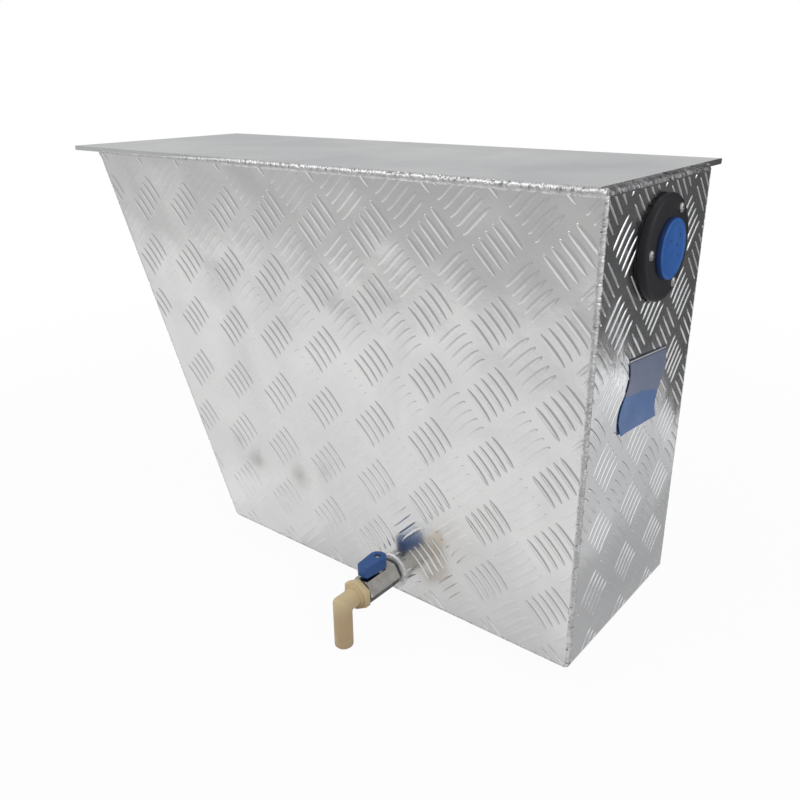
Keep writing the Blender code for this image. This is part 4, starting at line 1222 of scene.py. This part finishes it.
def screwMesh(name, size, values):
    # domed head with a cross recess
    head, shaft, foot, end = pick(size, "head shaft foot end")
    top = foot + size["dome"]
    dome = [(head * x, foot + size["dome"] * y) for x, y in arcPoints((0, 0), 1, 80, 0, 4)]
    profile = [(0, top), *dome, (shaft, foot), (shaft, end), (0, end)]
    deep, width, length = (share * head for share in pick(values, "recess recessWidth recessLength"))
    punch = crossPrism(length / 2, width / 2, top - deep, top + deep)
    return cutWith(turnedMesh(name, profile, values["sides"], screwSteel), punch)


def buildScrewTree():
    tree, given, sink = newTree("screwCircle", {
        "Screw": "Object", "Finish": "Material", "Count": "Int", "Circle Radius": "Float", "Seed": "Int"})
    screw = addNode(tree, "GeometryNodeObjectInfo", {"Object": given["Screw"], "As Instance": True})
    ring = firstOf(tree, "GeometryNodeMeshCircle", {
        "Vertices": given["Count"], "Radius": given["Circle Radius"]})
    twist = randomOf(tree, 0.0, math.pi / 2, given["Seed"])
    laid = addInstances(tree, ring, screw.outputs["Geometry"], Rotation=combine(tree, Z=twist))
    return endTree(tree, laid, given["Finish"], sink)


def buildScrews(values):
    template = linkObject("flangeScrew", screwMesh("flangeScrew", values["flange"], values))
    mesh = runTree(buildScrewTree(), "flange_screws", {
        "Screw": template, "Finish": screwSteel, "Count": values["count"], "Circle Radius": values["circle"],
        "Seed": values["seed"]})
    discard(template)
    # the first screw lies towards the front of the flange
    mesh.transform(outOfRight @ Matrix.Rotation(-math.pi / 2, 4, "Z"))
    finishPiece("flange_screws", mesh, "tank",
                ["filler_screw_1", "filler_screw_2", "filler_screw_3"], smoothAngle=30)
    mesh = screwMesh("leverScrew", values["lever"], values)
    mesh.transform(Matrix.Translation(((stemLow.x + stemHigh.x) / 2, (stemLow.y + stemHigh.y) / 2, 0)))
    finishPiece("lever_top_screw", mesh, "lever", ["lever_screw"], smoothAngle=30)


buildFlange(filler)
buildCap(cap)
buildScrews(screws)
print("filler ready")

# Pieces that keep the frame's own shape, with merged corners and smooth rounds

shapeCopies = {
    "valve_body": ("tap_body", "tank", 20),
    "valve_lever": ("tap_lever", "lever", 32),
    "spout_elbow": ("spout", "tank", 32),
    "outlet_socket": ("tap_socket", "tank", 30),
    "filler_gasket": ("flange_gasket", "tank", 30),
    "valve_ball": ("tap_ball", "lever", 30),
}


def smoothCopy(nodeName, pieceName, body, angle):
    mesh = nodes[nodeName].data.copy()
    work = startWork(mesh)
    bmesh.ops.remove_doubles(work, verts=work.verts, dist=1e-6)
    bmesh.ops.dissolve_limit(work, angle_limit=math.radians(0.5), verts=work.verts, edges=work.edges)
    endWork(work, mesh)
    if "custom_normal" in mesh.attributes:
        mesh.attributes.remove(mesh.attributes["custom_normal"])
    finishPiece(pieceName, mesh, body, [nodeName], smoothAngle=angle)


for nodeName, values in shapeCopies.items():
    smoothCopy(nodeName, *values)


# Label: two-tone film, blank, with one corner lifting

def buildLabel(values):
    rows, columns = values["rows"], values["columns"]
    front, back = [], []
    for i in range(rows + 1):
        rise = values["height"] * (i / rows - 0.5)
        for j in range(columns + 1):
            across = values["width"] * (j / columns - 0.5)
            fromCorner = math.hypot(across + values["width"] / 2, rise + values["height"] / 2)
            near = max(0.0, 1 - fromCorner / values["cornerReach"])
            spot = values["middle"] + labelAcross * (across + labelSwing(rise)) + labelUp * rise
            spot.x = rightX + values["lift"] + values["cornerLift"] * near ** values["curl"]
            front.append(tuple(spot))
            back.append((spot.x - values["film"], spot.y, spot.z))
    count = len(front)
    wide = columns + 1
    faces = []
    for i in range(rows):
        for j in range(columns):
            a, b, c, d = i * wide + j, i * wide + j + 1, (i + 1) * wide + j + 1, (i + 1) * wide + j
            faces += [(a, b, c, d), (a + count, d + count, c + count, b + count)]
    rim = [*range(wide), *(i * wide + columns for i in range(1, rows + 1)),
           *(rows * wide + j for j in range(columns - 1, -1, -1)),
           *(i * wide for i in range(rows - 1, 0, -1))]
    for a, b in zip(rim, rim[1:] + rim[:1]):
        faces.append((a, a + count, b + count, b))
    mesh = bpy.data.meshes.new("label")
    mesh.from_pydata(front + back, [], faces)
    closeUp(mesh)
    mesh.materials.append(slotFinish["label_film"])
    finishPiece("label", mesh, "tank", ["blank_label"], smoothAngle=40)


buildLabel(label)
print("label and tap ready")
